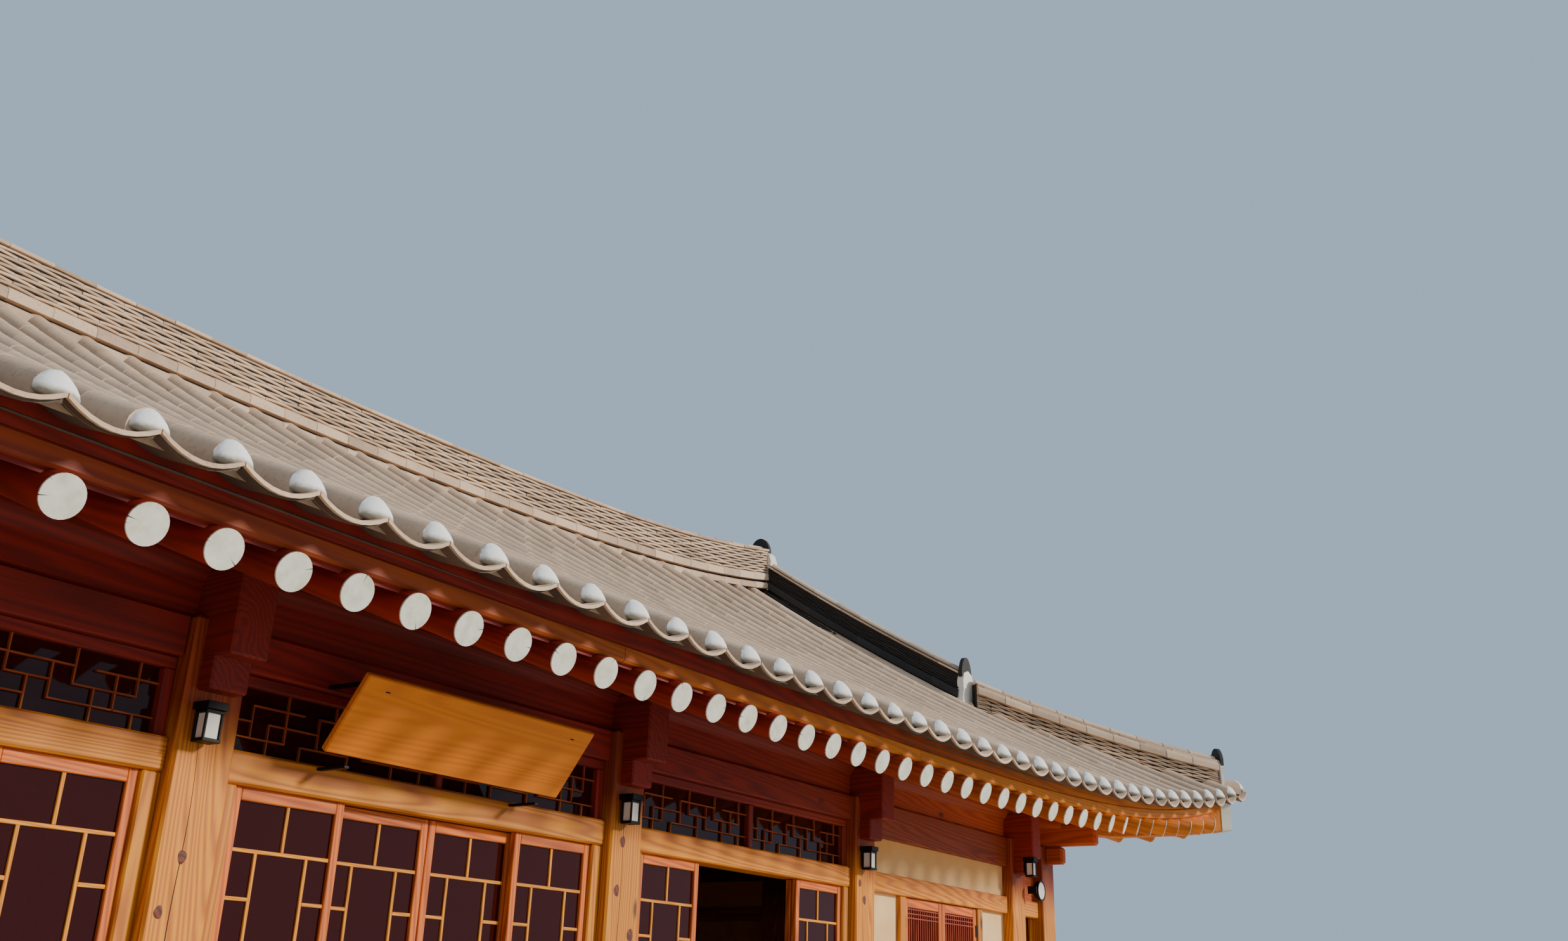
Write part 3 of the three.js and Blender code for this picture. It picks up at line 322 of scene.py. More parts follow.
def fired(name, tones, soot):
    # fired clay: a tone of its own for each tile, blotches of lime and soot, and a fine grain
    material = startMaterial(name)
    tree = material[1]
    place = objectPlace(tree)
    blotch = noise(tree, place, 3.2, 6.0, 0.65)
    speck = noise(tree, place, 42.0, 4.0, 0.7)
    share = maths(tree, "MULTIPLY_ADD", attribute(tree, "tone"), 0.5, maths(tree, "MULTIPLY", blotch, 0.6))
    body = shades(tree, share, (0.2, 0.5, 0.85), tones)
    sooty = mixed(tree, mask(tree, speck, 0.55, 0.75, 0, 0.45), body, rgba(soot))
    rough = maths(tree, "MULTIPLY_ADD", speck, 0.25, 0.6)
    return finish(material, sooty, rough, maths(tree, "MULTIPLY_ADD", blotch, 0.6, speck), 0.35, 0.004)


roofClay = fired("roofClay", ("#99806a", "#c4a68a", "#e0c2a2"), "#6a5546")
darkClay = fired("darkClay", ("#110e0c", "#1c1815", "#2c2622"), "#090706")
# darker clay for pans and bed: painted shade in the hollows between the rows, which are the same clay
shadedPanClay = fired("shadedPanClay", ("#3c3129", "#56473b", "#6e5c4c"), "#241d18")


def limewash():
    # white plug: bright on top, grey and rough below, which the tone attribute tells; the grey lower part is
    # painted shade
    material = startMaterial("limePlug")
    tree = material[1]
    lumps = noise(tree, objectPlace(tree), 26.0, 5.0, 0.7)
    share = maths(tree, "ADD", attribute(tree, "tone"), maths(tree, "MULTIPLY_ADD", lumps, 0.5, -0.25))
    body = shades(tree, share, (0.12, 0.30, 0.5), ("#a49e92", "#d8d2c6", "#fbf8f2"))
    return finish(material, body, 0.85, lumps, 0.5, 0.006)


plugLime = limewash()

paint = {"tones": ("#c9c7b4", "#dedccd", "#f0ece2"), "crack": "#3a2a20",
         "cracks": ((1.0, 0.040), (7.3, 0.062)), "opens": 0.055}


def endPaint():
    # white paint on end grain, a little dirt, and two drying cracks that open toward the rim: a crack is
    # where the arc from its own angle is less than a share of the distance past its start
    material = startMaterial("endPaint")
    tree = material[1]
    vector = attribute(tree, "grain", "Vector")
    x, y, z = put(tree, "SeparateXYZ", Vector=vector).outputs
    dirt = noise(tree, vector, 14.0, 5.0, 0.6)
    colour = shades(tree, dirt, (0.3, 0.5, 0.75), paint["tones"])
    angle = maths(tree, "ARCTAN2", y, z)
    flat = put(tree, "CombineXYZ", X=0.0, Y=y, Z=z).outputs[0]
    far = put(tree, "VectorMath", {"operation": "LENGTH"}, n0=flat).outputs["Value"]
    for turn, start in paint["cracks"]:
        place = maths(tree, "MULTIPLY_ADD", maths(tree, "FRACT", maths(tree, "MULTIPLY", x, turn)),
                      2 * np.pi, -np.pi)
        away = maths(tree, "ABSOLUTE",
                     maths(tree, "WRAP", maths(tree, "SUBTRACT", angle, place), np.pi, -np.pi))
        wide = maths(tree, "MULTIPLY", maths(tree, "SUBTRACT", far, start), paint["opens"])
        crack = maths(tree, "LESS_THAN", maths(tree, "MULTIPLY", away, far), wide)
        colour = mixed(tree, crack, colour, rgba(paint["crack"]))
    return finish(material, colour, 0.75, dirt, 0.2, 0.002)


whiteEnd = endPaint()


def granite():
    # dressed granite: grey body with dark and light crystals and a pecked face
    material = startMaterial("granite")
    tree = material[1]
    place = objectPlace(tree)
    cloud = noise(tree, place, 2.0)
    crystal = put(tree, "TexVoronoi", Vector=place, Scale=110.0).outputs["Color"]
    pecked = noise(tree, place, 55.0, 4.0, 0.7)
    share = maths(tree, "MULTIPLY_ADD", attribute(tree, "tone"), 0.35, maths(tree, "MULTIPLY", cloud, 0.65))
    body = shades(tree, share, (0.2, 0.5, 0.8), ("#8d8a84", "#aca8a0", "#c6c1b6"))
    return finish(material, mixed(tree, 0.28, body, crystal, "OVERLAY"), 0.85, pecked, 0.45, 0.004)


stone = granite()


def plainFinish(name, code, rough, metal=0.0, grain=30.0, spread=0.25):
    # painted metal, paper or frosted pane: one colour, mottled a little by noise in colour, gloss and bump
    material = startMaterial(name)
    tree = material[1]
    mottle = noise(tree, objectPlace(tree), grain, 4.0, 0.6)
    low = tuple(c * (1 - spread) for c in linear(code))
    high = tuple(min(1.0, c * (1 + spread)) for c in linear(code))
    material[2].inputs["Metallic"].default_value = metal
    gloss = maths(tree, "MULTIPLY_ADD", mottle, 0.2, rough - 0.1)
    return finish(material, ramp(tree, mottle, [(0.3, low), (0.7, high)]), gloss, mottle, 0.15, 0.001)


blackIron = plainFinish("blackIron", "#1b1817", 0.5, 0.6)
frosted = plainFinish("frostedPane", "#efe9df", 0.35, 0.0, 12.0, 0.06)
warmPaper = plainFinish("latticeBacking", "#6b2410", 0.7, 0.0, 9.0, 0.3)


def glazing():
    # thin glass, slightly wavy as old panes are; its dark maroon colour is painted shade of the dim room
    # behind
    material = startMaterial("leafGlass")
    tree, shader = material[1:]
    shader.inputs["IOR"].default_value = 1.33
    shader.inputs["Transmission Weight"].default_value = 0.55
    wave = noise(tree, objectPlace(tree), 3.5, 2.0)
    return finish(material, rgba("#4c1610"), 0.03, wave, 0.08, 0.004)


glass = glazing()
print("materials are ready")


def outward(points, faceSets):
    # signed volume of a closed mesh as the sum of fan tetrahedra
    # over all faces; below zero every face is turned over
    volume = 0.0
    for faces in faceSets:
        first = points[faces[:, 0]]
        for k in range(1, faces.shape[1] - 1):
            volume += np.einsum("ij,ij->", first, np.cross(points[faces[:, k]], points[faces[:, k + 1]]))
    return faceSets if volume > 0 else [faces[:, ::-1] for faces in faceSets]


def addPiece(name, shape, mat, body="house", replaced=(), slot=None, smooth=False):
    # shape is (points, face index arrays, grain coordinates or None, tone or None)
    points, faceSets, grain, tone = shape
    mesh = bpy.data.meshes.new(name)
    mesh.from_pydata(points.tolist(), [],
                     [face for faces in outward(points, faceSets) for face in faces.tolist()])
    if grain is not None:
        mesh.attributes.new("grain", "FLOAT_VECTOR", "POINT").data.foreach_set(
            "vector", np.ascontiguousarray(grain, np.float32).ravel())
    tones = np.full(len(points), 0.5) if tone is None else tone
    mesh.attributes.new("tone", "FLOAT", "POINT").data.foreach_set("value", tones.astype(np.float32))
    mesh.polygons.foreach_set("use_smooth", np.full(len(mesh.polygons), smooth))
    mesh.materials.append(mat)
    piece = bpy.data.objects.new(name, mesh)
    bpy.context.scene.collection.objects.link(piece)
    if smooth:
        mesh.set_sharp_from_angle(angle=0.7)
    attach(piece, body)
    if replaced:
        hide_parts(*replaced)


def merged(*shapes):
    # several shapes as one: points stacked, face indices moved up by the points before them
    start = np.cumsum([0] + [len(s[0]) for s in shapes])
    points = np.vstack([s[0] for s in shapes])
    faceSets = [faces + start[i] for i, s in enumerate(shapes) for faces in outward(s[0], s[1])]
    grain = None if shapes[0][2] is None else np.vstack([s[2] for s in shapes])
    tone = np.concatenate([np.full(len(s[0]), 0.5) if s[3] is None else s[3] for s in shapes])
    return points, faceSets, grain, tone


def cornerFaces():
    # faces of a chamfered box whose point (corner c, axis k)
    # has index 3c + k: six sides, twelve edges, eight corners
    signs = np.array([[x, y, z] for x in (-1, 1) for y in (-1, 1) for z in (-1, 1)])
    spots = np.array([signs[c] * (1 - 0.3 * (1 - np.eye(3)[k])) for c in range(8) for k in range(3)])
    quads, tris = [], [[3 * c, 3 * c + 1, 3 * c + 2] for c in range(8)]

    def corner(k, s, sa, sb):
        # number of the corner with sign s on axis k, and sa and sb on the two axes after it
        key = np.roll([s, sa, sb], k)
        return int((key + 1) @ (4, 2, 1)) // 2

    for k in range(3):
        a, b = (k + 1) % 3, (k + 2) % 3
        for s in (-1, 1):
            quads.append([3 * corner(k, s, sa, sb) + k for sa, sb in ((-1, -1), (1, -1), (1, 1), (-1, 1))])
        for sa, sb in ((-1, -1), (-1, 1), (1, -1), (1, 1)):
            c, d = corner(k, -1, sa, sb), corner(k, 1, sa, sb)
            quads.append([3 * c + a, 3 * d + a, 3 * d + b, 3 * c + b])

    def facing(face):
        p = spots[face]
        return face if np.dot(np.cross(p[1] - p[0], p[2] - p[0]), p.mean(0)) > 0 else face[::-1]

    return signs, np.array([facing(q) for q in quads]), np.array([facing(t) for t in tris])


boxSigns, boxQuads, boxTris = cornerFaces()


def boxes(members, bevel=0.006):
    # every member (x0, x1, y0, y1, z0, z1, axis) as a box with all edges chamfered: each corner gives three
    # points, each pulled in by the bevel along the two other axes. Grain runs along the member's own axis.
    table = np.array(members, float)
    low, high = table[:, 0:6:2], table[:, 1:6:2]
    half = (high - low) / 2
    cut = np.minimum(bevel, half.min(1) * 0.45)
    reach = half[:, None, None, :] - cut[:, None, None, None] * (1 - np.eye(3))[None, None]
    points = (low + half)[:, None, None, :] + boxSigns[None, :, None, :] * reach
    count = len(table)
    step = 24 * np.arange(count)[:, None, None]
    faceSets = [(boxQuads[None] + step).reshape(-1, 4), (boxTris[None] + step).reshape(-1, 3)]
    local = points - low[:, None, None, :] + draw.uniform(0, 30, (count, 1, 1, 3))
    order = (table[:, 6].astype(int)[:, None] + np.arange(3)) % 3
    grain = np.take_along_axis(local, order[:, None, None, :].repeat(8, 1).repeat(3, 2), 3)
    tone = draw.uniform(0, 1, count).repeat(24)
    return points.reshape(-1, 3), faceSets, grain.reshape(-1, 3), tone


def quarterTurns(members, count):
    # members turned about the upright axis by quarter turns: (x, y) goes to (-y, x)
    for _ in range(count):
        members = [(-y1, -y0, x0, x1, z0, z1, {0: 1, 1: 0, 2: 2}[axis])
                   for x0, x1, y0, y1, z0, z1, axis in members]
    return members


def shifted(members, dx=0.0, dy=0.0):
    return [(x0 + dx, x1 + dx, y0 + dy, y1 + dy, z0, z1, axis) for x0, x1, y0, y1, z0, z1, axis in members]


def boxPieces(rows, replaced=(), dy=0.0, body="house"):
    # a piece of chamfered boxes for every row of (name, members, bevel, finish, slot)
    for name, members, bevel, mat, slot in rows:
        addPiece(name, boxes(shifted(members, dy=dy), bevel), mat, body, replaced, slot)


def gather(stores, parts):
    # each list of parts joins the store of its own kind
    for store, more in zip(stores, parts):
        store += more


def tubes(sections):
    # tubes through sections of shape (tube, section, point,
    # xyz): a quad between neighbours, a flat cap at each end
    count, rows, ring = sections.shape[:3]
    base = np.arange(count)[:, None, None] * rows * ring
    i = np.arange(rows - 1)[None, :, None] * ring
    j = np.arange(ring)[None, None, :]
    k = (j + 1) % ring
    quads = np.stack([base + i + j, base + i + k, base + i + ring + k,
                      base + i + ring + j], -1).reshape(-1, 4)
    start = base[:, :, 0] + np.arange(ring)[None, ::-1]
    end = base[:, :, 0] + (rows - 1) * ring + np.arange(ring)[None]
    return sections.reshape(-1, 3), [quads, start, end]


def logs(starts, ends, radius, sides=18, stations=2, wobble=0.0):
    # round bars: points at angle t on a circle square to each axis, from the first radius evenly to the last
    along = ends - starts
    length = np.linalg.norm(along, axis=1, keepdims=True)
    along = along / length
    side = unit(np.cross(along, upright))
    high = np.cross(side, along)
    t, share = circle(sides), np.linspace(0, 1, stations)
    radii = radius[0] + (radius[1] - radius[0]) * share
    ring = (np.cos(t)[None, None, :, None] * side[:, None, None]
            + np.sin(t)[None, None, :, None] * high[:, None, None])
    odd = 1 + wobble * draw.uniform(-1, 1, (len(starts), 1, 1, 1)) + wobble * 0.6 * np.sin(
        t[None, None, :, None] * 2 + draw.uniform(0, 6, (len(starts), 1, 1, 1)))
    middle = starts[:, None, None] + (length * along)[:, None, None] * share[None, :, None, None]
    points, faceSets = tubes(middle + ring * radii[None, :, None, None] * odd)
    local = np.broadcast_arrays(length[:, None] * share[None, :, None], (radii[:, None] * np.cos(t))[None],
                                (radii[:, None] * np.sin(t))[None])
    grain = np.stack(local, -1) + draw.uniform(0, 30, (len(starts), 1, 1, 3)) * np.array([1, 0.02, 0.02])
    return points, faceSets, grain.reshape(-1, 3), draw.uniform(0, 1, len(starts)).repeat(stations * sides)


print("shape helpers are ready")

# Wall line of the front, drawn with its centre on y = 0 and the outside at -y
wall = {
    "bay": 3.0, "rowY": 3.0, "corner": 8.25, "half": 0.15,
    "floor": 0.39, "sill": 0.55, "waistLow": 1.10, "waist": 1.25, "headLow": 2.467, "head": 2.617,
    "tieLow": 2.975, "bayTieLow": 2.895, "tie": 3.16, "out": 0.10, "in": 0.08, "windowHalf": 0.70,
    "post": 0.10, "panel": 0.05, "sillProud": 0.004, "headProud": 0.002, "postBack": 0.012, "postShy": 0.01,
}
frameX = [wall["bay"] * (n - 2.5) for n in range(6)]
bayOf = [(a + wall["half"], b - wall["half"]) for a, b in zip(frameX[:-1], frameX[1:])]
rearWindows = [-6.0, 0.0, 6.0]


def rail(x0, x1, z0, z1, proud=0.0):
    return (x0, x1, -wall["out"] - proud, wall["in"], z0, z1, 0)


def plasterBay(x0, x1, windows):
    # timber and plaster of one bay: rails, window posts and the panels that are left between them
    w = wall
    timber = [rail(x0, x1, w["floor"], w["sill"], w["sillProud"]), rail(x0, x1, w["waistLow"], w["waist"]),
              rail(x0, x1, w["headLow"], w["head"], w["headProud"]), rail(x0, x1, w["bayTieLow"], w["tie"])]
    edges = [x0]
    for x in windows:
        outer = w["windowHalf"] + w["post"]
        edges += [x - outer, x + outer]
        for side in (-1, 1):
            a, b = sorted((x + side * w["windowHalf"], x + side * outer))
            timber.append((a, b, -w["out"] + w["postBack"], w["in"] - w["postShy"],
                           w["waist"], w["headLow"], 2))
    edges.append(x1)
    spans = [(x0, x1, w["sill"], w["waistLow"]), (x0, x1, w["head"], w["bayTieLow"])]
    spans += [(a, b, w["waist"], w["headLow"]) for a, b in zip(edges[::2], edges[1::2])]
    return timber, [(a, b, -w["panel"], w["panel"], low, high, 0) for a, b, low, high in spans]


shutter = {"stile": 0.062, "bars": 13, "bar": 0.011, "lines": (2.30, 2.335, 2.37, 1.78, 1.815, 1.40, 1.435),
           "out": 0.070, "in": 0.026, "gap": 0.003, "clear": 0.004, "bottom": 0.09, "top": 0.075,
           "board": 0.012, "lap": 0.010, "hingeAt": (1.42, 2.27), "hingeHalf": 0.022, "hingeHigh": 0.05}


def shutterPair(x):
    # two closed leaves: stiles and rails, upright bars on a backing board, thin bars across in three groups
    s, w = shutter, wall
    frames, bars, backs, hinges = [], [], [], []
    low, high = w["waist"] + s["clear"], w["headLow"] - s["clear"]
    front, back = -s["out"], -s["in"]
    for side in (-1, 1):
        far = x + side * (w["windowHalf"] - s["clear"])
        a, b = sorted((x + side * s["gap"], far))
        frames += [(u, u + s["stile"], front, back, low, high, 2) for u in (a, b - s["stile"])]
        a, b = a + s["stile"], b - s["stile"]
        frames += [(a, b, front + 0.002, back, z, z + deep, 0)
                   for z, deep in ((low, s["bottom"]), (high - s["top"], s["top"]))]
        middles = np.linspace(a, b, s["bars"] + 2)[1:-1]
        bars += [(u - s["bar"] / 2, u + s["bar"] / 2, front + 0.008, back - 0.01, low + s["bottom"],
                  high - s["top"], 2) for u in middles]
        bars += [(a, b, front + 0.004, front + 0.016, z, z + s["bar"], 0) for z in s["lines"]]
        backs.append((a - s["lap"], b + s["lap"], back - s["board"], back, low + 0.02, high - 0.02, 2))
        hinges += [(far - s["hingeHalf"], far + s["hingeHalf"], front - 0.006, front + 0.004,
                    z - s["hingeHigh"], z + s["hingeHigh"], 2) for z in s["hingeAt"]]
    return frames, bars, backs, hinges


def windowPieces(first, parts, nodes, dy=0.0):
    # frames, bars, backing and hinges of a wall's shutters; first is the start of their names
    frames, bars, backs, hinges = parts
    slot = "shutter_timber"
    boxPieces([(first + "Frames", frames, 0.004, doorWood, slot),
               (first + "Bars", bars, 0.002, latticeWood, slot),
               (first + "Backing", backs, 0.002, warmPaper, slot)], nodes, dy)
    boxPieces([(first + "Hinges", hinges, 0.003, blackIron, None)], dy=dy)


def windowBays():
    # the two plastered front bays, each with its shutters about the middle between the columns
    timber, panels = [], []
    shutters = [], [], [], []
    for x0, x1 in (bayOf[0], bayOf[4]):
        x = (x0 + x1) / 2
        gather((timber, panels), plasterBay(x0, x1, [x]))
        gather(shutters, shutterPair(x))
    boxPieces([("windowBayTimber", timber, 0.006, sunWood, "frame_timber"),
               ("windowBayPlaster", panels, 0.002, creamPlaster, "wall_plaster")],
              ("left_window_bay", "right_window_bay"), -wall["rowY"])
    windowPieces("shutter", shutters, ("left_window_shutters", "right_window_shutters"), -wall["rowY"])


windowBays()


def columnAt(x, y):
    h = wall["half"]
    return (x - h, x + h, y - h, y + h, wall["floor"], wall["tie"], 2)


lantern = {"half": 0.040, "low": 2.600, "top": 2.775, "face": -3.15, "off": 0.018, "bar": 0.011,
           "aside": -0.05, "lastLift": 0.20, "lastFace": -3.246, "frameRim": 0.007, "lidRim": 0.012,
           "lid": 0.034}


def lanternAt(x, lift=0.0, face=lantern["face"]):
    # box lantern: four corner bars, sill and lid, a frosted box inside and an arm to the column
    n = lantern
    near, far = face - n["off"], face - n["off"] - 2 * n["half"]
    low, top = n["low"] + lift, n["top"] + lift
    left, right, bar = x - n["half"], x + n["half"], n["bar"] / 2
    iron = [(u - bar, u + bar, y - bar, y + bar, low, top - 0.02, 2)
            for u in (left, right) for y in (near - 0.006, far + 0.006)]
    iron += [(left - n["frameRim"], right + n["frameRim"], far - 0.002, near, z, z + high, 0)
             for z, high in ((low, 0.016), (top - 0.05, 0.014))]
    iron.append((left - n["lidRim"], right + n["lidRim"], far - n["lidRim"], face, top - n["lid"], top, 0))
    iron.append((left + 0.02, right - 0.02, near - 0.004, face, low + 0.02, top - 0.03, 2))
    pane = [(left + 0.006, right - 0.006, far + 0.008, near - 0.008, low + 0.014, top - 0.045, 2)]
    return iron, pane


def frontColumns():
    # a column on each inner axis and a lantern beside every axis, the last one higher and nearer
    columns = [columnAt(x, -wall["rowY"]) for x in frameX[1:5]]
    boxPieces([("frontColumns", columns, 0.012, sunWood, "frame_timber")],
              ["front_column_%d" % n for n in (1, 2, 3, 4)])
    iron, panes = [], []
    for x in frameX[:-1]:
        gather((iron, panes), lanternAt(x + lantern["aside"]))
    gather((iron, panes), lanternAt(frameX[-1] + lantern["aside"], lantern["lastLift"], lantern["lastFace"]))
    boxPieces([("lanternFrames", iron, 0.002, blackIron, None),
               ("lanternPanes", panes, 0.003, frosted, None)])


frontColumns()

split = {"aside": -0.045, "sway": 0.016, "low": 0.42, "top": 2.60, "half": 0.0052, "proud": 0.0014,
         "rows": 60}
columnFace = -wall["rowY"] - wall["half"]


def dryingCracks():
    # long thin dark splits down the face of each front column: the path sways by two sines of the height
    rows = np.linspace(split["low"], split["top"], split["rows"])
    wide = split["half"] * (0.25 + np.sin(np.pi * np.linspace(0, 1, split["rows"])) ** 0.7)
    sections = []
    for x in frameX[1:5]:
        turn = draw.uniform(0, 6)
        middle = x + split["aside"] + split["sway"] * (np.sin(2.1 * rows + turn)
                                                       + 0.35 * np.sin(7.3 * rows + turn))
        ring = [(middle - wide, columnFace + 0.002), (middle + wide, columnFace + 0.002),
                (middle, columnFace - split["proud"])]
        sections.append(np.stack([np.stack([a, np.full(len(rows), b), rows], -1) for a, b in ring], 1))
    points, faceSets = tubes(np.stack(sections))
    addPiece("dryingCracks", (points, faceSets, points[:, [2, 0, 1]], None), crackAndShadeWood)


knots = {"count": 8, "apart": (0.14, 0.34), "from": 0.5, "highest": 2.5, "half": (0.015, 0.030), "tall": 1.35,
         "rings": ((1.0, -0.002), (1.0, 0.0006), (0.6, 0.0014), (0.15, 0.0017))}


def columnKnots():
    # thin lens shapes in the column faces, taller than wide,
    # their rim waved by a sine; most lie beside the split
    turn = circle(24)
    rings = []
    for x in frameX[1:5]:
        for z in np.cumsum(draw.uniform(*knots["apart"], knots["count"])) + knots["from"]:
            wide = draw.uniform(*knots["half"])
            aside = (split["aside"] + draw.choice([-1, 1]) * draw.uniform(0.02, 0.03) if draw.random() < 0.6
                     else draw.uniform(-0.11, 0.11))
            rim = wide * (1 + 0.08 * np.sin(3 * turn + draw.uniform(0, 6)))
            middle = min(z, knots["highest"])
            rings.append([np.stack([x + aside + size * rim * np.cos(turn), 0 * turn + columnFace - out,
                                    middle + knots["tall"] * size * rim * np.sin(turn)], -1)
                          for size, out in knots["rings"]])
    points, faceSets = tubes(np.array(rings))
    addPiece("columnKnots", (points, faceSets, points[:, [1, 0, 2]] * 3.0, None), knotWood, smooth=True)


dryingCracks()
columnKnots()

floodlight = {"place": (7.77, -3.24, 2.70), "radius": 0.095, "deep": 0.07, "sides": 28, "pane": 0.82,
              "arm": 0.012,
              "housing": ((0.0, 0.55), (0.012, 0.85), (0.030, 0.97), (0.058, 1.0), (0.07, 1.0), (0.07, 0.86),
                          (0.064, 0.84))}


def addFloodlight():
    # round floodlight on an arm from the last frame column:
    # circles of (depth, share of the radius) along its axis
    n = floodlight
    x, y, z = n["place"]
    back = y + n["deep"] / 2
    t = circle(n["sides"])

    def turnedShape(stations):
        rings = [np.stack([x + n["radius"] * k * np.cos(t), 0 * t + back - d,
                           z + n["radius"] * k * np.sin(t)], -1)
                 for d, k in stations]
        return (*tubes(np.stack(rings)[None]), None, None)

    addPiece("floodlightHousing", turnedShape(n["housing"]), blackIron, smooth=True)
    addPiece("floodlightPane", turnedShape([(n["deep"] - d, n["pane"]) for d in (0.004, 0.010)]), frosted)
    arm = [(7.648, x - 0.03, back - 0.012, back + 0.004, z - n["arm"], z + n["arm"], 0),
           (7.645, 7.660, y - 0.03, y + 0.06, z - 0.035, z + 0.035, 1)]
    boxPieces([("floodlightArm", arm, 0.002, blackIron, None)])


addFloodlight()

endBay = {"lap": 0.005, "stile": 0.05, "stileHalf": 0.03, "barHalf": 0.025, "bars": (1.15, 1.80), "bar": 0.03,
          "glassHalf": 0.004, "rebate": 0.01}


def endBays():
    # narrow glazed bay at either end: columns, rails, stiles with two bars, a boarded head and a tall pane
    w, n = wall, endBay
    timber, panels, panes = [], [], []
    for side in (-1, 1):
        a, b = sorted((side * (frameX[-1] + w["half"] - n["lap"]),
                       side * (w["corner"] - w["half"] + n["lap"])))
        inA, inB = a + n["stile"], b - n["stile"]
        timber += [columnAt(side * frameX[-1], 0), columnAt(side * w["corner"], 0)]
        timber += [rail(a, b, w["floor"], w["sill"]), rail(a, b, w["headLow"], w["head"]),
                   rail(a, b, w["tieLow"], w["tie"])]
        timber += [(u, u + n["stile"], -n["stileHalf"], n["stileHalf"], w["sill"], w["headLow"], 2)
                   for u in (a, inB)]
        timber += [(inA, inB, -n["barHalf"], n["barHalf"], z, z + n["bar"], 0) for z in n["bars"]]
        panels += [(a, b, -w["panel"], w["panel"], w["head"], w["tieLow"], 0)]
        panes += [(inA - n["rebate"], inB + n["rebate"], -n["glassHalf"], n["glassHalf"],
                   w["sill"] - n["rebate"], w["headLow"] + n["rebate"], 2)]
    boxPieces([("endBayTimber", timber, 0.009, sunWood, "frame_timber"),
               ("endBayBoards", panels, 0.003, shadeWood, "frame_timber"),
               ("endBayGlass", panes, 0.001, glass, None)], ("left_end_bay", "right_end_bay"), -w["rowY"])


endBays()

leafSpec = {"width": 0.647, "stile": 0.048, "bottom": 0.096, "top": 0.060, "thick": 0.040, "bar": 0.017,
            "proud": 0.012, "panes": 2.19, "module": 0.21, "panel": 0.86, "rail": 0.05, "narrow": 0.238,
            "rebate": 0.008, "glassHalf": 0.003, "board": 0.008, "boardIn": 0.006, "jamb": 0.09,
            "fixedOut": 0.065, "innerOut": 0.020, "sideBars": (1, 3, 5), "midBars": (4, 5.6)}


def leafAt(x0, x1, out, z0, z1):
    # one glazed leaf: stiles and rails, a row of two panes on top, below it a wide light between two narrow
    # ones with short cross bars, and a boarded foot. The bars stand proud of both faces of the glass.
    n = leafSpec
    y0, y1 = -out, -out + n["thick"]
    mid = (y0 + y1) / 2
    a, b = x0 + n["stile"], x1 - n["stile"]
    low, high = n["panel"] + n["rail"], z1 - n["top"]
    frames = [(x0, a, y0, y1, z0, z1, 2), (b, x1, y0, y1, z0, z1, 2)]
    frames += [(a, b, y0 + 0.001, y1 - 0.001, p, q, 0)
               for p, q in ((z0, z0 + n["bottom"]), (high, z1), (n["panel"], low))]
    foot = [(a - n["boardIn"], b + n["boardIn"], mid - n["board"], mid + n["board"],
             z0 + n["bottom"] - n["boardIn"], n["panel"] + n["boardIn"], 2)]
    half, front, back = n["bar"] / 2, mid - n["proud"], mid + n["proud"]
    panes = n["panes"]
    left, right = a + (b - a) * n["narrow"], b - (b - a) * n["narrow"]
    bars = [(a, b, front, back, panes - half, panes + half, 0),
            ((a + b) / 2 - half, (a + b) / 2 + half, front, back, panes + half, high, 2)]
    bars += [(u - half, u + half, front, back, low, panes - half, 2) for u in (left, right)]
    across = [(p, q, panes - n["module"] * k) for k in n["sideBars"]
              for p, q in ((a, left - half), (right + half, b))]
    across += [(left + half, right - half, panes - n["module"] * k) for k in n["midBars"]]
    bars += [(p, q, front, back, z - half, z + half, 0) for p, q, z in across]
    edge, glassHalf = n["rebate"], n["glassHalf"]
    pane = [(a - edge, b + edge, mid - glassHalf, mid + glassHalf, low - edge, high + edge, 2)]
    return frames, bars, foot, pane


# Runs of the fretwork in cells: (from, to, row) across, and (column, from, to) up
fret = {"bar": 0.008, "front": -0.034, "back": -0.016, "cellsX": 13, "cellsZ": 4,
        "across": ((0, 3, 1), (1, 4, 3), (2, 5, 2), (4, 7, 1), (5, 9, 3), (6, 8, 2), (8, 11, 1), (9, 12, 2),
                   (10, 13, 3), (11, 13, 1), (0, 1, 2)),
        "up": ((1, 1, 3), (2, 0, 2), (3, 1, 4), (4, 0, 1), (5, 1, 3), (6, 2, 4), (7, 0, 2), (8, 1, 3),
               (9, 2, 4), (10, 0, 2), (11, 1, 3), (12, 2, 4), (12, 0, 1))}


def fretwork(a, b, low, high):
    # one panel of interlocking bars on an even grid of cells
    n = fret
    across = np.linspace(a, b, n["cellsX"] + 1)
    up = np.linspace(low, high, n["cellsZ"] + 1)
    half, y0, y1 = n["bar"] / 2, n["front"], n["back"]
    runs = [(across[i] - half, across[j] + half, y0, y1, up[k] - half, up[k] + half, 0)
            for i, j, k in n["across"]]
    runs += [(across[i] - half, across[i] + half, y0 + 0.001, y1 - 0.001, up[j], up[k], 2)
             for i, j, k in n["up"]]
    return runs


head = {"edge": 0.055, "middle": 0.025, "front": -0.06, "back": 0.02, "light": (-0.016, -0.010), "lap": 0.004}


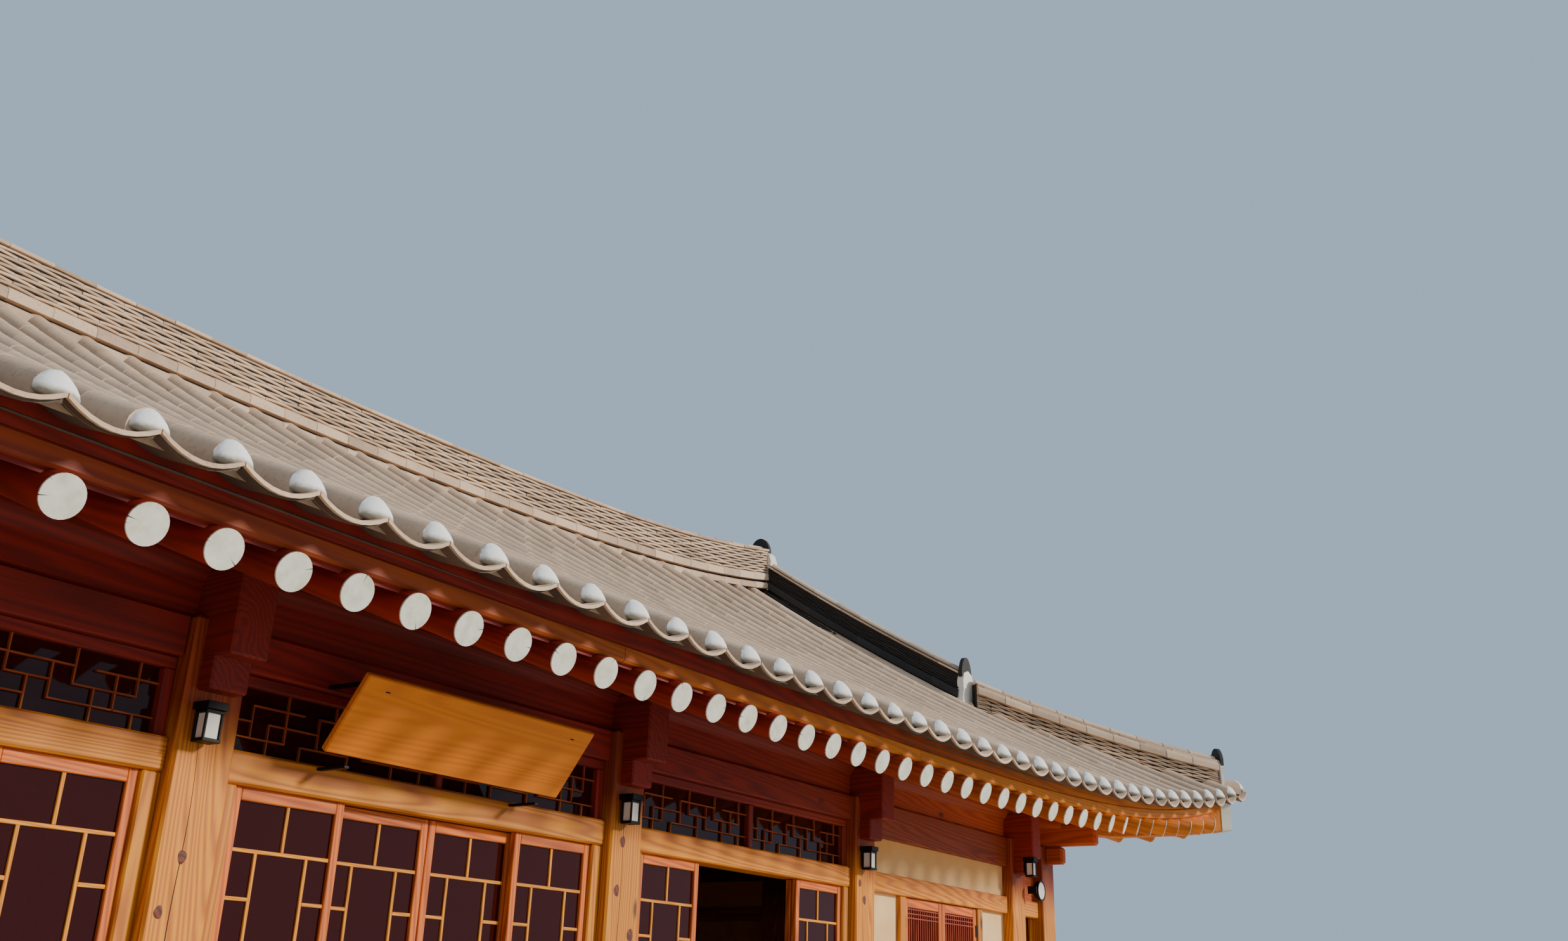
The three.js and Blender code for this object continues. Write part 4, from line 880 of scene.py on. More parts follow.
def headAt(x0, x1):
    # head of a door bay: lintel, framed fretwork lights and tie beam
    w, n = wall, head
    mid = (x0 + x1) / 2
    low, top = w["head"], w["tieLow"] - n["edge"]
    high = [rail(x0, x1, w["tieLow"], w["tie"])]
    high += [(a, b, n["front"], n["back"], low, top, 2)
             for a, b in ((x0, x0 + n["edge"]), (mid - n["middle"], mid + n["middle"]), (x1 - n["edge"], x1))]
    high.append((x0, x1, n["front"], n["back"], top, w["tieLow"], 0))
    runs = fretwork(x0 + n["edge"], mid - n["middle"], low, top)
    runs += fretwork(mid + n["middle"], x1 - n["edge"], low, top)
    light = [(x0 + 0.05, x1 - 0.05, *n["light"], low - n["lap"], top + n["lap"], 0)]
    return [rail(x0, x1, w["headLow"], w["head"])], high, runs, light


def leafPieces(names, parts, nodes, dy=0.0, body="house"):
    frames, bars, feet, panes = parts
    slot = "door_timber"
    boxPieces([(names[0], frames, 0.004, doorWood, slot), (names[1], bars, 0.002, paleWood, slot),
               (names[2], feet, 0.002, doorWood, slot), (names[3], panes, 0.001, glass, None)], nodes, dy,
              body)


def doorBays():
    # the glazed bay has four fixed leaves, the entrance and
    # the doorway two each, with the sliding ones between
    w, n = wall, leafSpec
    lintels, highs, runs, lights, jambs = [], [], [], [], []
    fixed = [], [], [], []
    for x0, x1 in bayOf[1:4]:
        gather((lintels, highs, runs, lights), headAt(x0, x1))
        mid = (x0 + x1) / 2
        for side, outer in ((-1, x0), (1, x1)):
            inner = outer - side * n["jamb"]
            a, b = sorted((outer, inner))
            jambs.append((a, b, -w["out"] + 0.01, w["in"], w["floor"], w["headLow"], 2))
            a, b = sorted((inner, inner - side * n["width"]))
            gather(fixed, leafAt(a, b, n["fixedOut"], w["floor"], w["headLow"]))
            if (x0, x1) == bayOf[1]:
                a, b = sorted((mid + side * 0.001, mid + side * (n["width"] + 0.001)))
                gather(fixed, leafAt(a, b, n["innerOut"], w["floor"], w["headLow"]))
    y = -w["rowY"]
    boxPieces([("lintels", lintels, 0.010, sunWood, "door_timber"),
               ("tieBeams", highs, 0.008, shadeWood, "frame_timber"),
               ("fretwork", runs, 0.001, paleWood, "door_timber"),
               ("fretworkLights", lights, 0.001, glass, None)],
              ("entrance_head", "doorway_head", "glazed_bay"), y)
    nodes = [p + "_fixed_" + s for p in ("entrance", "doorway") for s in ("left", "right")] + ["glazed_bay"]
    boxPieces([("jambs", jambs, 0.008, sunWood, "door_timber")], nodes, y)
    leafPieces(["fixedLeaf" + part for part in ("Frames", "Bars", "Feet", "Glass")], fixed, nodes, y)


def slidingLeaves():
    # four leaves that slide, each filling the box of its own node of the frame
    for opening in ("entrance", "doorway"):
        for side in ("left", "right"):
            node = opening + "_leaf_" + side
            low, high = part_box(node)
            names = [opening + "Leaf" + side.capitalize() + part
                     for part in ("Frame", "Bars", "Foot", "Glass")]
            leafPieces(names, leafAt(low.x, high.x, -low.y, low.z, high.z), [node], body=node)


doorBays()
slidingLeaves()
print("front wall is dressed")


def plainWalls():
    # rear wall with its columns and shuttered windows, and the
    # two side walls, turned round from the front's drawing
    w = wall
    timber, panels = [], []
    shutters = [], [], [], []

    def take(stores, parts, turns, dx, dy):
        gather(stores, [shifted(quarterTurns(part, turns), dx, dy) for part in parts])

    rear = plasterBay(-w["corner"], w["corner"], rearWindows)
    rear[0].extend(columnAt(x, 0) for x in frameX + [-w["corner"], w["corner"]])
    take((timber, panels), rear, 2, 0, w["rowY"])
    for x in rearWindows:
        take(shutters, shutterPair(x), 2, 0, w["rowY"])
    near = w["rowY"] - w["half"]
    side = plasterBay(-near, near, [])
    side[0].append(columnAt(0, 0))
    for turns, x in ((1, w["corner"]), (3, -w["corner"])):
        take((timber, panels), side, turns, x, 0)
    boxPieces([("plainWallTimber", timber, 0.008, sunWood, "frame_timber"),
               ("plainWallPlaster", panels, 0.002, creamPlaster, "wall_plaster")],
              ("rear_wall", "left_wall", "right_wall"))
    windowPieces("rearShutter", shutters, ["rear_wall"])


plainWalls()
print("rear and side walls are dressed")

# Roof surfaces. u runs along an eave, run goes from the eave line up the slope.
roof = {"eaveY": 4.42, "eaveX": 9.67, "hip": 5.25, "half": 9.92, "halfY": 4.67, "pitch": 0.3365,
        "shift": 0.0235, "low": 3.3, "rows": 31, "sideRows": 14, "lastRow": 9.75, "gableX": 7.62,
        "gableRun": 2.11, "rise": 0.5, "flare": 0.25, "sideLift": 0.16}
slopes = ("front", "right", "rear", "left")
outOf = {"front": (0, -1.0, 0), "right": (1.0, 0, 0), "rear": (0, 1.0, 0), "left": (-1.0, 0, 0)}


def isLong(slope):
    return slope in ("front", "rear")


def halfOf(slope):
    return roof["eaveX"] if isLong(slope) else roof["eaveY"]


def alongOf(slope, u):
    return np.abs(u) + (0.0 if isLong(slope) else roof["hip"])


def riseAt(x):
    # lift of the eave toward the corners: half a metre times the share of the half length to the power 4.75
    return roof["rise"] * (np.abs(x) / roof["half"]) ** 4.75


def flareAt(x):
    # outward sweep of the eave toward the corners: a quarter metre times the share cubed
    return roof["flare"] * (np.abs(x) / roof["half"]) ** 3


def sideLift(slope, u, run, least=0.0):
    # the short eaves lie higher than the long ones; the lift fades out
    # evenly toward the wall and, by a smooth step, toward the hips
    if isLong(slope):
        return 0.0
    away = np.clip((roof["eaveY"] - np.abs(u) - 0.5 - np.minimum(run, 0.2)) / 1.2, 0, 1)
    return roof["sideLift"] * away * away * (3 - 2 * away) * np.clip(1 - (run + 0.1) / 1.52, least, 1)


def bedAt(slope, u, run):
    # height under the tiles: a parabola in the run, plus the
    # eave's lift fading out and the ridge's lift fading in
    x = alongOf(slope, u)
    share = (run + flareAt(x)) / (roof["eaveY"] + flareAt(x))
    reach = share * roof["eaveY"]
    ridgeLift = 0.42 * (x / 7.5) ** 2.2
    slant = roof["low"] + 0.4 * reach + 0.027 * reach ** 2 + riseAt(x) * (1 - share) + ridgeLift * share
    return slant + sideLift(slope, u, run)


def onSlope(slope, u, run, z):
    # plan of a slope in the frame; the rear and left slopes are half turns of the front and right ones
    x, y = (u, run - roof["eaveY"]) if isLong(slope) else (roof["eaveX"] - run, u)
    if slope in ("rear", "left"):
        x, y = -x, -y
    return np.stack(np.broadcast_arrays(x, y, z), -1)


def onBed(slope, u, run, lift=0.0):
    return onSlope(slope, u, run, bedAt(slope, u, run) + lift)


def hipRun(slope, u):
    return halfOf(slope) - np.abs(u)


def topRun(slope, u, inner=4.30, gableRun=roof["gableRun"]):
    # highest run at u: the ridge or the gable's foot inside, the hip line outside
    if isLong(slope):
        return np.where(np.abs(u) < roof["gableX"], inner, hipRun(slope, u))
    return np.minimum(hipRun(slope, u), gableRun)


def halfTiles(low, high, radiusLow, radiusHigh, depth=0.03, flat=1.0):
    # half-round tiles with their backs up: an arc of nine points and two lower corners at each end
    side = unit(np.cross(high - low, upright))
    t = np.linspace(0, np.pi, 9)
    across = np.concatenate([np.cos(t), [-1, 1]])
    sections = []
    for middle, radius in ((low, radiusLow), (high, radiusHigh)):
        up = np.concatenate([np.sin(t) * radius * flat, [-depth, -depth]])
        sections.append(middle[:, None] + side[:, None] * (across * radius)[None, :, None]
                        + upright * up[None, :, None])
    sections = np.stack(sections, 1)
    return *tubes(sections), None, draw.uniform(0, 1, len(low)).repeat(2 * len(across))


tile = {"course": 0.33, "lap": 0.03, "shortest": 0.05, "sway": 0.0025, "radiusLow": 0.0810,
        "radiusHigh": 0.0800, "skirt": 0.045, "lift": 0.052, "drop": 0.002, "panHalf": 0.165, "panLow": 0.004,
        "panEdge": 0.058, "panThick": 0.017, "panStep": 0.20, "panLength": 0.30, "lip": 0.085,
        "lipLong": 0.065}
lipSpec = {"long": tile["lipLong"], "lifts": (0.020, 0.006)}
panSpec = {"long": tile["panLength"], "lifts": (0.006, -0.014)}


def rowLines(slope):
    # middles of the convex rows between the two corners
    if isLong(slope):
        side = 1 if slope == "front" else -1
        us = roof["shift"] * side + roof["pitch"] * (np.arange(-roof["rows"], roof["rows"]) + 0.5)
        return us[np.abs(us) < roof["lastRow"]]
    return roof["pitch"] * (np.arange(-roof["sideRows"], roof["sideRows"]) + 0.5)


def convexRows(slope):
    # half-round tiles laid up every row from the eave's sweep to the ridge or hip, each lapping the next
    us, starts, ends = [], [], []
    for u in rowLines(slope):
        first, last = -flareAt(alongOf(slope, u)), float(topRun(slope, u))
        runs = np.arange(first, last - tile["shortest"], tile["course"])
        us.append(np.full(len(runs), u))
        starts.append(runs)
        ends.append(np.minimum(runs + tile["course"] + tile["lap"], last))
    u, a, b = np.concatenate(us), np.concatenate(starts), np.concatenate(ends)
    u = u + draw.normal(0, tile["sway"], len(u))
    low, high = onBed(slope, u, a, tile["lift"]), onBed(slope, u, b, tile["lift"] - tile["drop"])
    points, faceSets, grain, tone = halfTiles(low, high, tile["radiusLow"], tile["radiusHigh"], tile["skirt"])
    return points, faceSets, grain, 0.3 + 0.4 * tone


def panTiles(slope, spec):
    # shallow troughs between the rows: height grows with the
    # square of the offset; the lower end lies on the next tile
    centres = rowLines(slope)
    gaps = np.concatenate([[centres[0] - roof["pitch"]], centres]) + roof["pitch"] / 2
    us, starts = [], []
    for u in gaps[np.abs(gaps) <= halfOf(slope) + 0.18]:
        first = -flareAt(alongOf(slope, u)) - tile["lip"]
        top = float(topRun(slope, max(abs(u) - 0.15, 0.0))) - 0.02
        runs = np.array([first]) if spec is lipSpec else np.arange(first + 0.02, top, tile["panStep"])
        us.append(np.full(len(runs), u))
        starts.append(runs)
    u, a = np.concatenate(us), np.concatenate(starts)
    t = np.linspace(-1, 1, 9)
    across = u[:, None] + tile["panHalf"] * t
    rim = topRun(slope, across, 4.36, 2.10)
    sag = tile["panLow"] + (tile["panEdge"] - tile["panLow"]) * t ** 2
    sections = []
    for reach, shy, lift in ((0.0, 0.004, spec["lifts"][0]), (spec["long"], 0.0, spec["lifts"][1])):
        run = np.minimum(a[:, None] + reach, rim - shy)
        z = bedAt(slope, across, run) + sag + lift + draw.normal(0, 0.0012, (len(u), 1))
        lower = onSlope(slope, across, run, z - tile["panThick"])
        sections.append(np.concatenate([onSlope(slope, across, run, z), lower[:, ::-1]], 1))
    return *tubes(np.stack(sections, 1)), None, draw.uniform(0, 1, len(u)).repeat(4 * len(t))


# Rings of a plug from its hidden back outward: the angle of each, and how far it lies behind the tile's end
plugSpec = {"wide": 0.080, "high": 0.084, "point": 0.012, "below": 0.024, "deep": 0.062, "droop": 0.14,
            "tilt": 0.20,
            "rings": ((46, 0.030), (68, 0.012), (90, 0.0), (66, 0.0), (42, 0.0), (20, 0.0), (6, 0.0)),
            "sides": 20}


def plugs(centres, outs, scale=1.0):
    # lime plugs: rings shrinking with the sine of an angle while
    # they step out with its cosine; pointed on top, flat below
    n = plugSpec
    outs = np.asarray(outs, float)
    side = np.cross(upright, outs)
    t = circle(n["sides"])
    wide = n["wide"] * np.cos(t)
    high = np.where(np.sin(t) > 0, n["high"] * np.sin(t) + n["point"] * np.maximum(np.sin(t), 0) ** 8,
                    n["below"] * np.sin(t))
    sections = []
    size = scale * (1 + draw.normal(0, 0.035, (len(centres), 1, 1)))
    lobes = draw.normal(0, 0.012, (2, len(centres), 1, 1))
    for angle, back in n["rings"]:
        ring = np.sin(np.radians(angle))
        step = -back if back else n["deep"] * np.cos(np.radians(angle))
        rough = 1 + lobes[0] * np.sin(2 * t + angle)[None, :, None] + lobes[1] * np.cos(3 * t)[None, :, None]
        sections.append(centres[:, None] + size * rough * (
            side[:, None] * (wide * ring)[None, :, None]
            + upright * (high * ring + 0.012 * (1 - ring) - n["droop"] * step)[None, :, None]
            + outs[:, None] * (step - n["tilt"] * high * ring + 0.004)[None, :, None]))
    grid = np.stack(sections, 1)
    # tone by height over the plug's middle: the lower part is painted grey, painted shade under the dome
    tone = np.clip((grid[..., 2] - centres[:, None, None, 2] + 0.012) / 0.055, 0, 1)
    return *tubes(grid), None, tone.ravel()


def strip(slope, us, profile):
    # long member along an eave: profile points (inset, height
    # above the eave line) swept over u with lift and flare
    x = alongOf(slope, us)
    run = profile[:, 0][None] - flareAt(x)[:, None]
    z = roof["low"] + riseAt(x)[:, None] + profile[:, 1][None] + sideLift(slope, us[:, None], 0.0)
    sections = onSlope(slope, us[:, None] * np.ones((1, len(profile))), run, z)[None]
    local = np.broadcast_arrays(us[:, None], profile[:, 0], profile[:, 1])
    grain = np.stack(local, -1) + draw.uniform(0, 30, 3)
    return *tubes(sections), grain.reshape(-1, 3), np.full(sections.size // 3, draw.uniform(0.2, 0.8))


def boxProfile(inner, outer, low, high, cut=0.006):
    return np.array([(outer + cut, low), (inner - cut, low), (inner, low + cut), (inner, high - cut),
                     (inner - cut, high), (outer + cut, high), (outer, high - cut), (outer, low + cut)])


bed = {"middle": 7.95, "parts": 54, "endParts": 8, "sideParts": 20, "steps": 14, "from": 0.185,
       "innerRun": 4.42, "gableRun": 2.13, "top": -0.040, "under": -0.075}


def bedSpans(slope):
    # the stretches of u that a slope's bed is made of, each with its highest run
    limit = halfOf(slope) - 0.01
    if not isLong(slope):
        us = np.linspace(0.0, limit, bed["sideParts"])
        return [(side * us, np.minimum(hipRun(slope, us), bed["gableRun"])) for side in (-1, 1)]
    middle = np.linspace(-bed["middle"], bed["middle"], bed["parts"])
    us = np.linspace(bed["middle"], limit, bed["endParts"])
    return [(middle, 0 * middle + bed["innerRun"])] + [(side * us, hipRun(slope, us)) for side in (-1, 1)]


def bedStrip(slope):
    # clay under the tiles, closed slabs between neighbouring
    # u values, from behind the eave board to the ridge or hip
    share = np.linspace(0, 1, bed["steps"])[:, None]
    shapes = []
    for us, last in bedSpans(slope):
        first = bed["from"] - flareAt(alongOf(slope, us))[None]
        run = first + share * (np.maximum(last[None], first + 0.01) - first)
        top, low = (onBed(slope, us[None] + 0 * run, run, lift) for lift in (bed["top"], bed["under"]))
        shapes.append((*tubes(np.concatenate([top, low[:, ::-1]], 1)[None]), None, None))
    return merged(*shapes)


cornerTile = {"out": (9.90, 4.65), "in": (9.62, 4.37), "z": 3.8, "outLift": 0.02, "inLift": 0.07,
              "radius": 0.088, "radiusIn": 0.085, "skirt": 0.06, "plug": 1.06}


def roofCover():
    # tiles, clay bed and lime plugs of the four slopes, then the four corner tiles set along the diagonals
    for slope in slopes:
        name = slope + "Roof"
        tiles = {"replaced": [slope + "_roof_slope"], "slot": "roof_tiles"}
        addPiece(name + "Rows", convexRows(slope), roofClay, smooth=True, **tiles)
        addPiece(name + "Lips", panTiles(slope, lipSpec), roofClay, **tiles)
        # pans and bed in the darker clay, painted shade under and between the rows
        addPiece(name + "Pans", panTiles(slope, panSpec), shadedPanClay, smooth=True, **tiles)
        addPiece(name + "Bed", bedStrip(slope), shadedPanClay, **tiles)
        us = rowLines(slope)
        centres = onBed(slope, us, -flareAt(alongOf(slope, us)), tile["lift"])
        outs = np.tile(outOf[slope], (len(us), 1))
        addPiece(name + "Plugs", plugs(centres, outs), plugLime, replaced=tiles["replaced"], smooth=True)
    n = cornerTile
    signs = np.array([(sx, sy) for sx in (-1, 1) for sy in (-1, 1)])
    low, high = (np.column_stack([signs * n[end], np.full(4, n["z"] + tile["lift"] + n[end + "Lift"])])
                 for end in ("out", "in"))
    addPiece("cornerTiles", halfTiles(low, high, n["radius"], n["radiusIn"], n["skirt"]), roofClay,
             slot="roof_tiles", smooth=True)
    outs = np.column_stack([signs, np.zeros(4)]) / np.sqrt(2)
    addPiece("cornerPlugs", plugs(low, outs, n["plug"]), plugLime, smooth=True)


roofCover()
print("tiles are laid")

# Profiles are (inner, outer, bottom, top, chamfer); the scallops rise and fall about their middle height
eaveSpec = {"shortOfCorner": 0.16, "boards": 6, "sideBoards": 3, "joint": 0.002,
            "board": (0.235, 0.165, -0.116, -0.030, 0.012), "fillet": (0.232, 0.172, -0.029, 0.078, 0.002),
            "scallopInner": 0.250, "scallopOuter": 0.225, "scallopFoot": -0.056, "scallopMiddle": 0.075,
            "scallop": 0.030, "scallopStep": 0.03}


def eaveBoards():
    # eave board on the rafter ends in lengths with butt joints, a thinner board on it, and behind them the
    # scalloped board whose top follows the rows by a cosine, near black as painted shade under the tiles
    n = eaveSpec
    for slope in slopes:
        end = (roof["half"] if isLong(slope) else roof["halfY"]) - n["shortOfCorner"]
        cuts = np.linspace(-end, end, (n["boards"] if isLong(slope) else n["sideBoards"]) + 1)
        boards = [strip(slope, np.linspace(a + n["joint"], b - n["joint"], 16), boxProfile(*n["board"]))
                  for a, b in zip(cuts[:-1], cuts[1:])]
        addPiece(slope + "EaveBoard", merged(*boards), shadedEaveWood, slot="roof_timber")
        fillet = strip(slope, np.linspace(-end, end, 90), boxProfile(*n["fillet"]))
        addPiece(slope + "EaveFillet", fillet, shadedRafterWood, slot="roof_timber")
        us = np.linspace(-end, end, int(end * 2 / n["scallopStep"]))
        x = alongOf(slope, us)
        phase = (us - rowLines(slope)[0]) / roof["pitch"] * 2 * np.pi
        crest = n["scallopMiddle"] + n["scallop"] * np.cos(phase)
        inset = np.array([n["scallopInner"], n["scallopOuter"], n["scallopOuter"], n["scallopInner"]])
        run = inset[None] - flareAt(x)[:, None]
        foot = n["scallopFoot"] + 0 * us
        z = roof["low"] + riseAt(x)[:, None] + np.stack([foot, foot, crest, crest], 1)
        z += sideLift(slope, us[:, None], 0.0)
        along = us[:, None] * np.ones((1, 4))
        grain = np.stack([along, run, z], -1).reshape(-1, 3)
        shape = (*tubes(onSlope(slope, along, run, z)[None]), grain, None)
        # scalloped board in the near-black pine: painted shade under the tiles
        addPiece(slope + "ScallopedBoard", shape, crackAndShadeWood, slot="roof_timber")


# Rafters and the deck on them: past the fan line both swing round toward the inner corner
deck = {"low": 3.144, "span": 3.27, "inner": 3.42, "from": 0.15, "slant": 0.4, "fan": (6.25, 1.0),
        "count": (31, 14), "end": (9.88, 4.63), "top": (3.42, 2.15), "rafterTop": 2.92, "deckTop": 3.30,
        "deckFrom": 0.05, "thick": 0.05, "pitch": 0.315, "dip": 0.05}


def deckPoint(slope, u, run, fan):
    # place along the eave and height of the deck's underside:
    # straight from the eave's lift down to the inner purlin
    x = alongOf(slope, u)
    spread = np.maximum(np.abs(u) - fan, 0)
    place = np.minimum(np.abs(u), fan) + spread * (deck["inner"] - run) / deck["span"]
    share = (run - deck["from"] + flareAt(x)) / (deck["span"] + flareAt(x))
    z = deck["low"] + deck["slant"] * deck["span"] * share + riseAt(x) * (1 - share)
    return place, z


def deckTopAt(slope, spread, fanned):
    return np.where(spread > 0, fanned, deck["top"][not isLong(slope)])


def rafterLines(slope):
    # each rafter from its eave end to its inner end, its axis a little below the deck's underside
    fan, count = deck["fan"][not isLong(slope)], deck["count"][not isLong(slope)]
    u = (np.arange(-count, count) + 0.5) * deck["pitch"]
    first = deck["from"] - flareAt(alongOf(slope, u))
    last = deckTopAt(slope, np.abs(u) - fan, deck["rafterTop"])
    ends = []
    for run in (first, last):
        place, z = deckPoint(slope, u, run, fan)
        ends.append(onSlope(slope, np.sign(u) * place, run, z - deck["dip"] + sideLift(slope, u, run, -9.0)))
    return ends


def deckSlab(slope):
    # boards under the tiles, a closed slab along rays from
    # the eave to the inner purlin, never past the hip line
    fan, end = deck["fan"][not isLong(slope)], deck["end"][not isLong(slope)]
    us = np.concatenate([np.linspace(-end, -fan, 24), np.linspace(-fan, fan, 30)[1:-1],
                         np.linspace(fan, end, 24)])
    us = us[:, None]
    first = deck["from"] + deck["deckFrom"] - flareAt(alongOf(slope, us))
    last = deckTopAt(slope, np.abs(us) - fan, deck["deckTop"])
    run = first + (last - first) * np.linspace(0, 1, 10)[None]
    place, z = deckPoint(slope, us, run, fan)
    place = np.sign(us) * np.minimum(place, halfOf(slope) - run + 0.01)
    z = z + sideLift(slope, us, run, -9.0)
    upper = onSlope(slope, place, run, z + deck["thick"])
    sections = np.concatenate([onSlope(slope, place, run, z), upper[:, ::-1]], 1)
    grain = np.stack([np.concatenate([place, place[:, ::-1]], 1), np.concatenate([run, run[:, ::-1]], 1)], -1)
    grain = np.concatenate([grain, 0 * grain[..., :1]], -1)
    return *tubes(sections[None]), grain.reshape(-1, 3), None


# Upper deck: half of its cross section from the foot up to the ridge, under side and top
upperDeckSpec = {"under": ((1.07, 4.39), (1.0, 4.452), (0, 5.20)), "thick": 0.06, "end": 7.49}


def upperDeck():
    # boards over the inner purlins up to the ridge, one closed slab for both sides
    half = np.array(upperDeckSpec["under"])
    under = np.concatenate([half * (-1, 1), half[1::-1]])
    ring = np.concatenate([under, under[::-1] + (0, upperDeckSpec["thick"])])
    ends = np.linspace(-upperDeckSpec["end"], upperDeckSpec["end"], 12)
    points, faceSets = tubes(np.stack([np.column_stack([np.full(len(ring), x), ring]) for x in ends])[None])
    addPiece("upperDeck", (points, faceSets, points, None), shadeWood, slot="roof_timber")


rafter = {"tip": 0.077, "inner": 0.080, "wobble": 0.02, "paint": 0.0785, "paintHalf": 0.004, "sides": 28}


def rafters():
    # round rafters under every slope, the boards on them, and a white disc of paint round each tip
    n = rafter
    for slope in slopes:
        starts, ends = rafterLines(slope)
        timber = {"replaced": [slope + "_rafters"], "slot": "roof_timber"}
        addPiece(slope + "RafterLogs", logs(starts, ends, (n["tip"], n["inner"]), 20, 3, n["wobble"]),
                 shadedRafterWood, smooth=True, **timber)
        addPiece(slope + "Deck", deckSlab(slope), shadeWood, **timber)
        half = n["paintHalf"] * unit(ends - starts)
        points, faceSets, _, tone = logs(starts - half, starts + half, (n["paint"], n["paint"]),
                                         n["sides"], 2)
        t = circle(n["sides"])
        count = len(starts)
        grain = np.stack([np.repeat(draw.uniform(0, 40, count), 2 * len(t)),
                          n["paint"] * np.tile(np.cos(t), 2 * count),
                          n["paint"] * np.tile(np.sin(t), 2 * count)], -1)
        addPiece(slope + "RafterEnds", (points, faceSets, grain, tone), whiteEnd, slot="roof_timber")


# Path of a hip rafter as (distance forward, bottom, top)
hip = {"half": 0.090, "tipHalf": 0.094, "tipLong": 0.075, "tipOut": 0.004, "chamfer": 0.008,
       "path": ((1.10, 4.20, 4.44), (2.20, 3.66, 4.06), (3.00, 3.34, 3.80), (3.60, 3.30, 3.66),
                (4.20, 3.37, 3.66), (4.545, 3.435, 3.735))}


def hipTimber(y, half, under, over):
    # squared timber swept along the diagonal at the distances y, in all four corners
    far, low, high = np.array(hip["path"]).T
    z0, z1 = np.interp(y, far, low) - under, np.interp(y, far, high) + over
    half = half / np.sqrt(2)
    ring = [(-half, z0 + hip["chamfer"]), (-half * 0.9, z0), (half * 0.9, z0), (half, z0 + hip["chamfer"]),
            (half, z1), (-half, z1)]
    one = np.stack([np.stack([y + roof["hip"] + a, -y + a, z], -1) for a, z in ring], 1)
    return tubes(np.stack([one * (sx, sy, 1.0) for sx in (-1, 1) for sy in (-1, 1)]))


def hipRafters():
    # the timber under each hip, and its painted tip, a little wider and longer
    foot, tip = hip["path"][0][0], hip["path"][-1][0]
    points, faceSets = hipTimber(np.linspace(foot, tip, 24), hip["half"], 0.0, 0.0)
    grain = np.stack([np.hypot(points[:, 0], points[:, 1]), points[:, 2], points[:, 0] - points[:, 1]], -1)
    nodes = ["hip_rafter_%s_%s" % (a, b) for a in ("front", "rear") for b in ("left", "right")]
    addPiece("hipRafters", (points, faceSets, grain, None), shadedRafterWood, replaced=nodes, slot="roof_timber")
    points, faceSets = hipTimber(np.linspace(tip - hip["tipLong"], tip + hip["tipOut"], 3), hip["tipHalf"],
                                 0.003, 0.002)
    flat = 0 * points[:, 0]
    grain = np.stack([flat + 3.0, points[:, 2] * 0.3, flat], -1)
    addPiece("hipRafterTips", (points, faceSets, grain, None), whiteEnd, slot="roof_timber")


eaveBoards()
rafters()
upperDeck()
hipRafters()
print("eaves are built")


def ridgeLine(points):
    # path of a ridge as a function: position and level side vector at any distance along it
    step = np.linalg.norm(np.diff(points[:, :2], axis=0), axis=1)
    place = np.concatenate([[0], np.cumsum(step)])
    ahead = unit(np.gradient(points[:, :2], place, axis=0))

    def at(s):
        where = np.stack([np.interp(s, place, points[:, k]) for k in range(3)], -1)
        turn = unit(np.stack([np.interp(s, place, ahead[:, k]) for k in range(2)], -1))
        return where, np.stack([turn[..., 1], -turn[..., 0], 0 * turn[..., 0]], -1)

    return at, place[-1]


# Cross section of a thin tile: (share of the half width, share of the thickness)
course = {"long": 0.30, "gap": 0.0015, "shortest": 0.03, "odd": 0.0035, "steps": 6,
          "section": ((-1, 0.25), (-0.985, 1), (0.985, 1), (1, 0.25), (0.985, 0), (-0.985, 0))}


def thinLayer(at, total, half, low, thick, shift, arch):
    # one course of thin tiles across the ridge: each tile bows up by a sine of its own length
    n = course
    count = max(1, int(round(total / n["long"])))
    edges = np.clip((np.arange(count + 1) + shift) * total / count, 0, total)
    edges = np.unique(np.concatenate([[0.0], edges, [total]]).round(4))
    edges = edges[np.concatenate([[True], np.diff(edges) > n["shortest"]])]
    share = np.linspace(0, 1, n["steps"])
    s = edges[:-1, None] + n["gap"] + (np.diff(edges)[:, None] - 2 * n["gap"]) * share
    where, side = at(s)
    bow = arch * np.sin(np.pi * share)[None, :, None]
    odd = draw.normal(0, n["odd"], (len(s), 1, 1))
    section = np.array(n["section"])
    wide = side[:, :, None] * (half + odd)[:, :, None] * section[None, None, :, 0, None]
    high = (low + bow + thick * section[None, None, :, 1])[..., None] * upright
    tone = draw.uniform(0, 1, len(s)).repeat(n["steps"] * len(section))
    return *tubes(where[:, :, None] + wide + high), None, tone


def barRow(at, total, offset, height, radius, flat=1.0, depth=0.02):
    # a row of half-round tiles laid end to end along the ridge, each a little wider at its near end
    edges = np.linspace(0, total, max(1, int(round(total / 0.31))) + 1)
    low, sideLow = at(edges[:-1] + 0.002)
    high, sideHigh = at(edges[1:] + 0.004)
    lift = upright * height
    low, high = low + sideLow * offset + lift, high + sideHigh * offset + lift
    return halfTiles(low, high, radius, radius * 0.93, depth, flat)


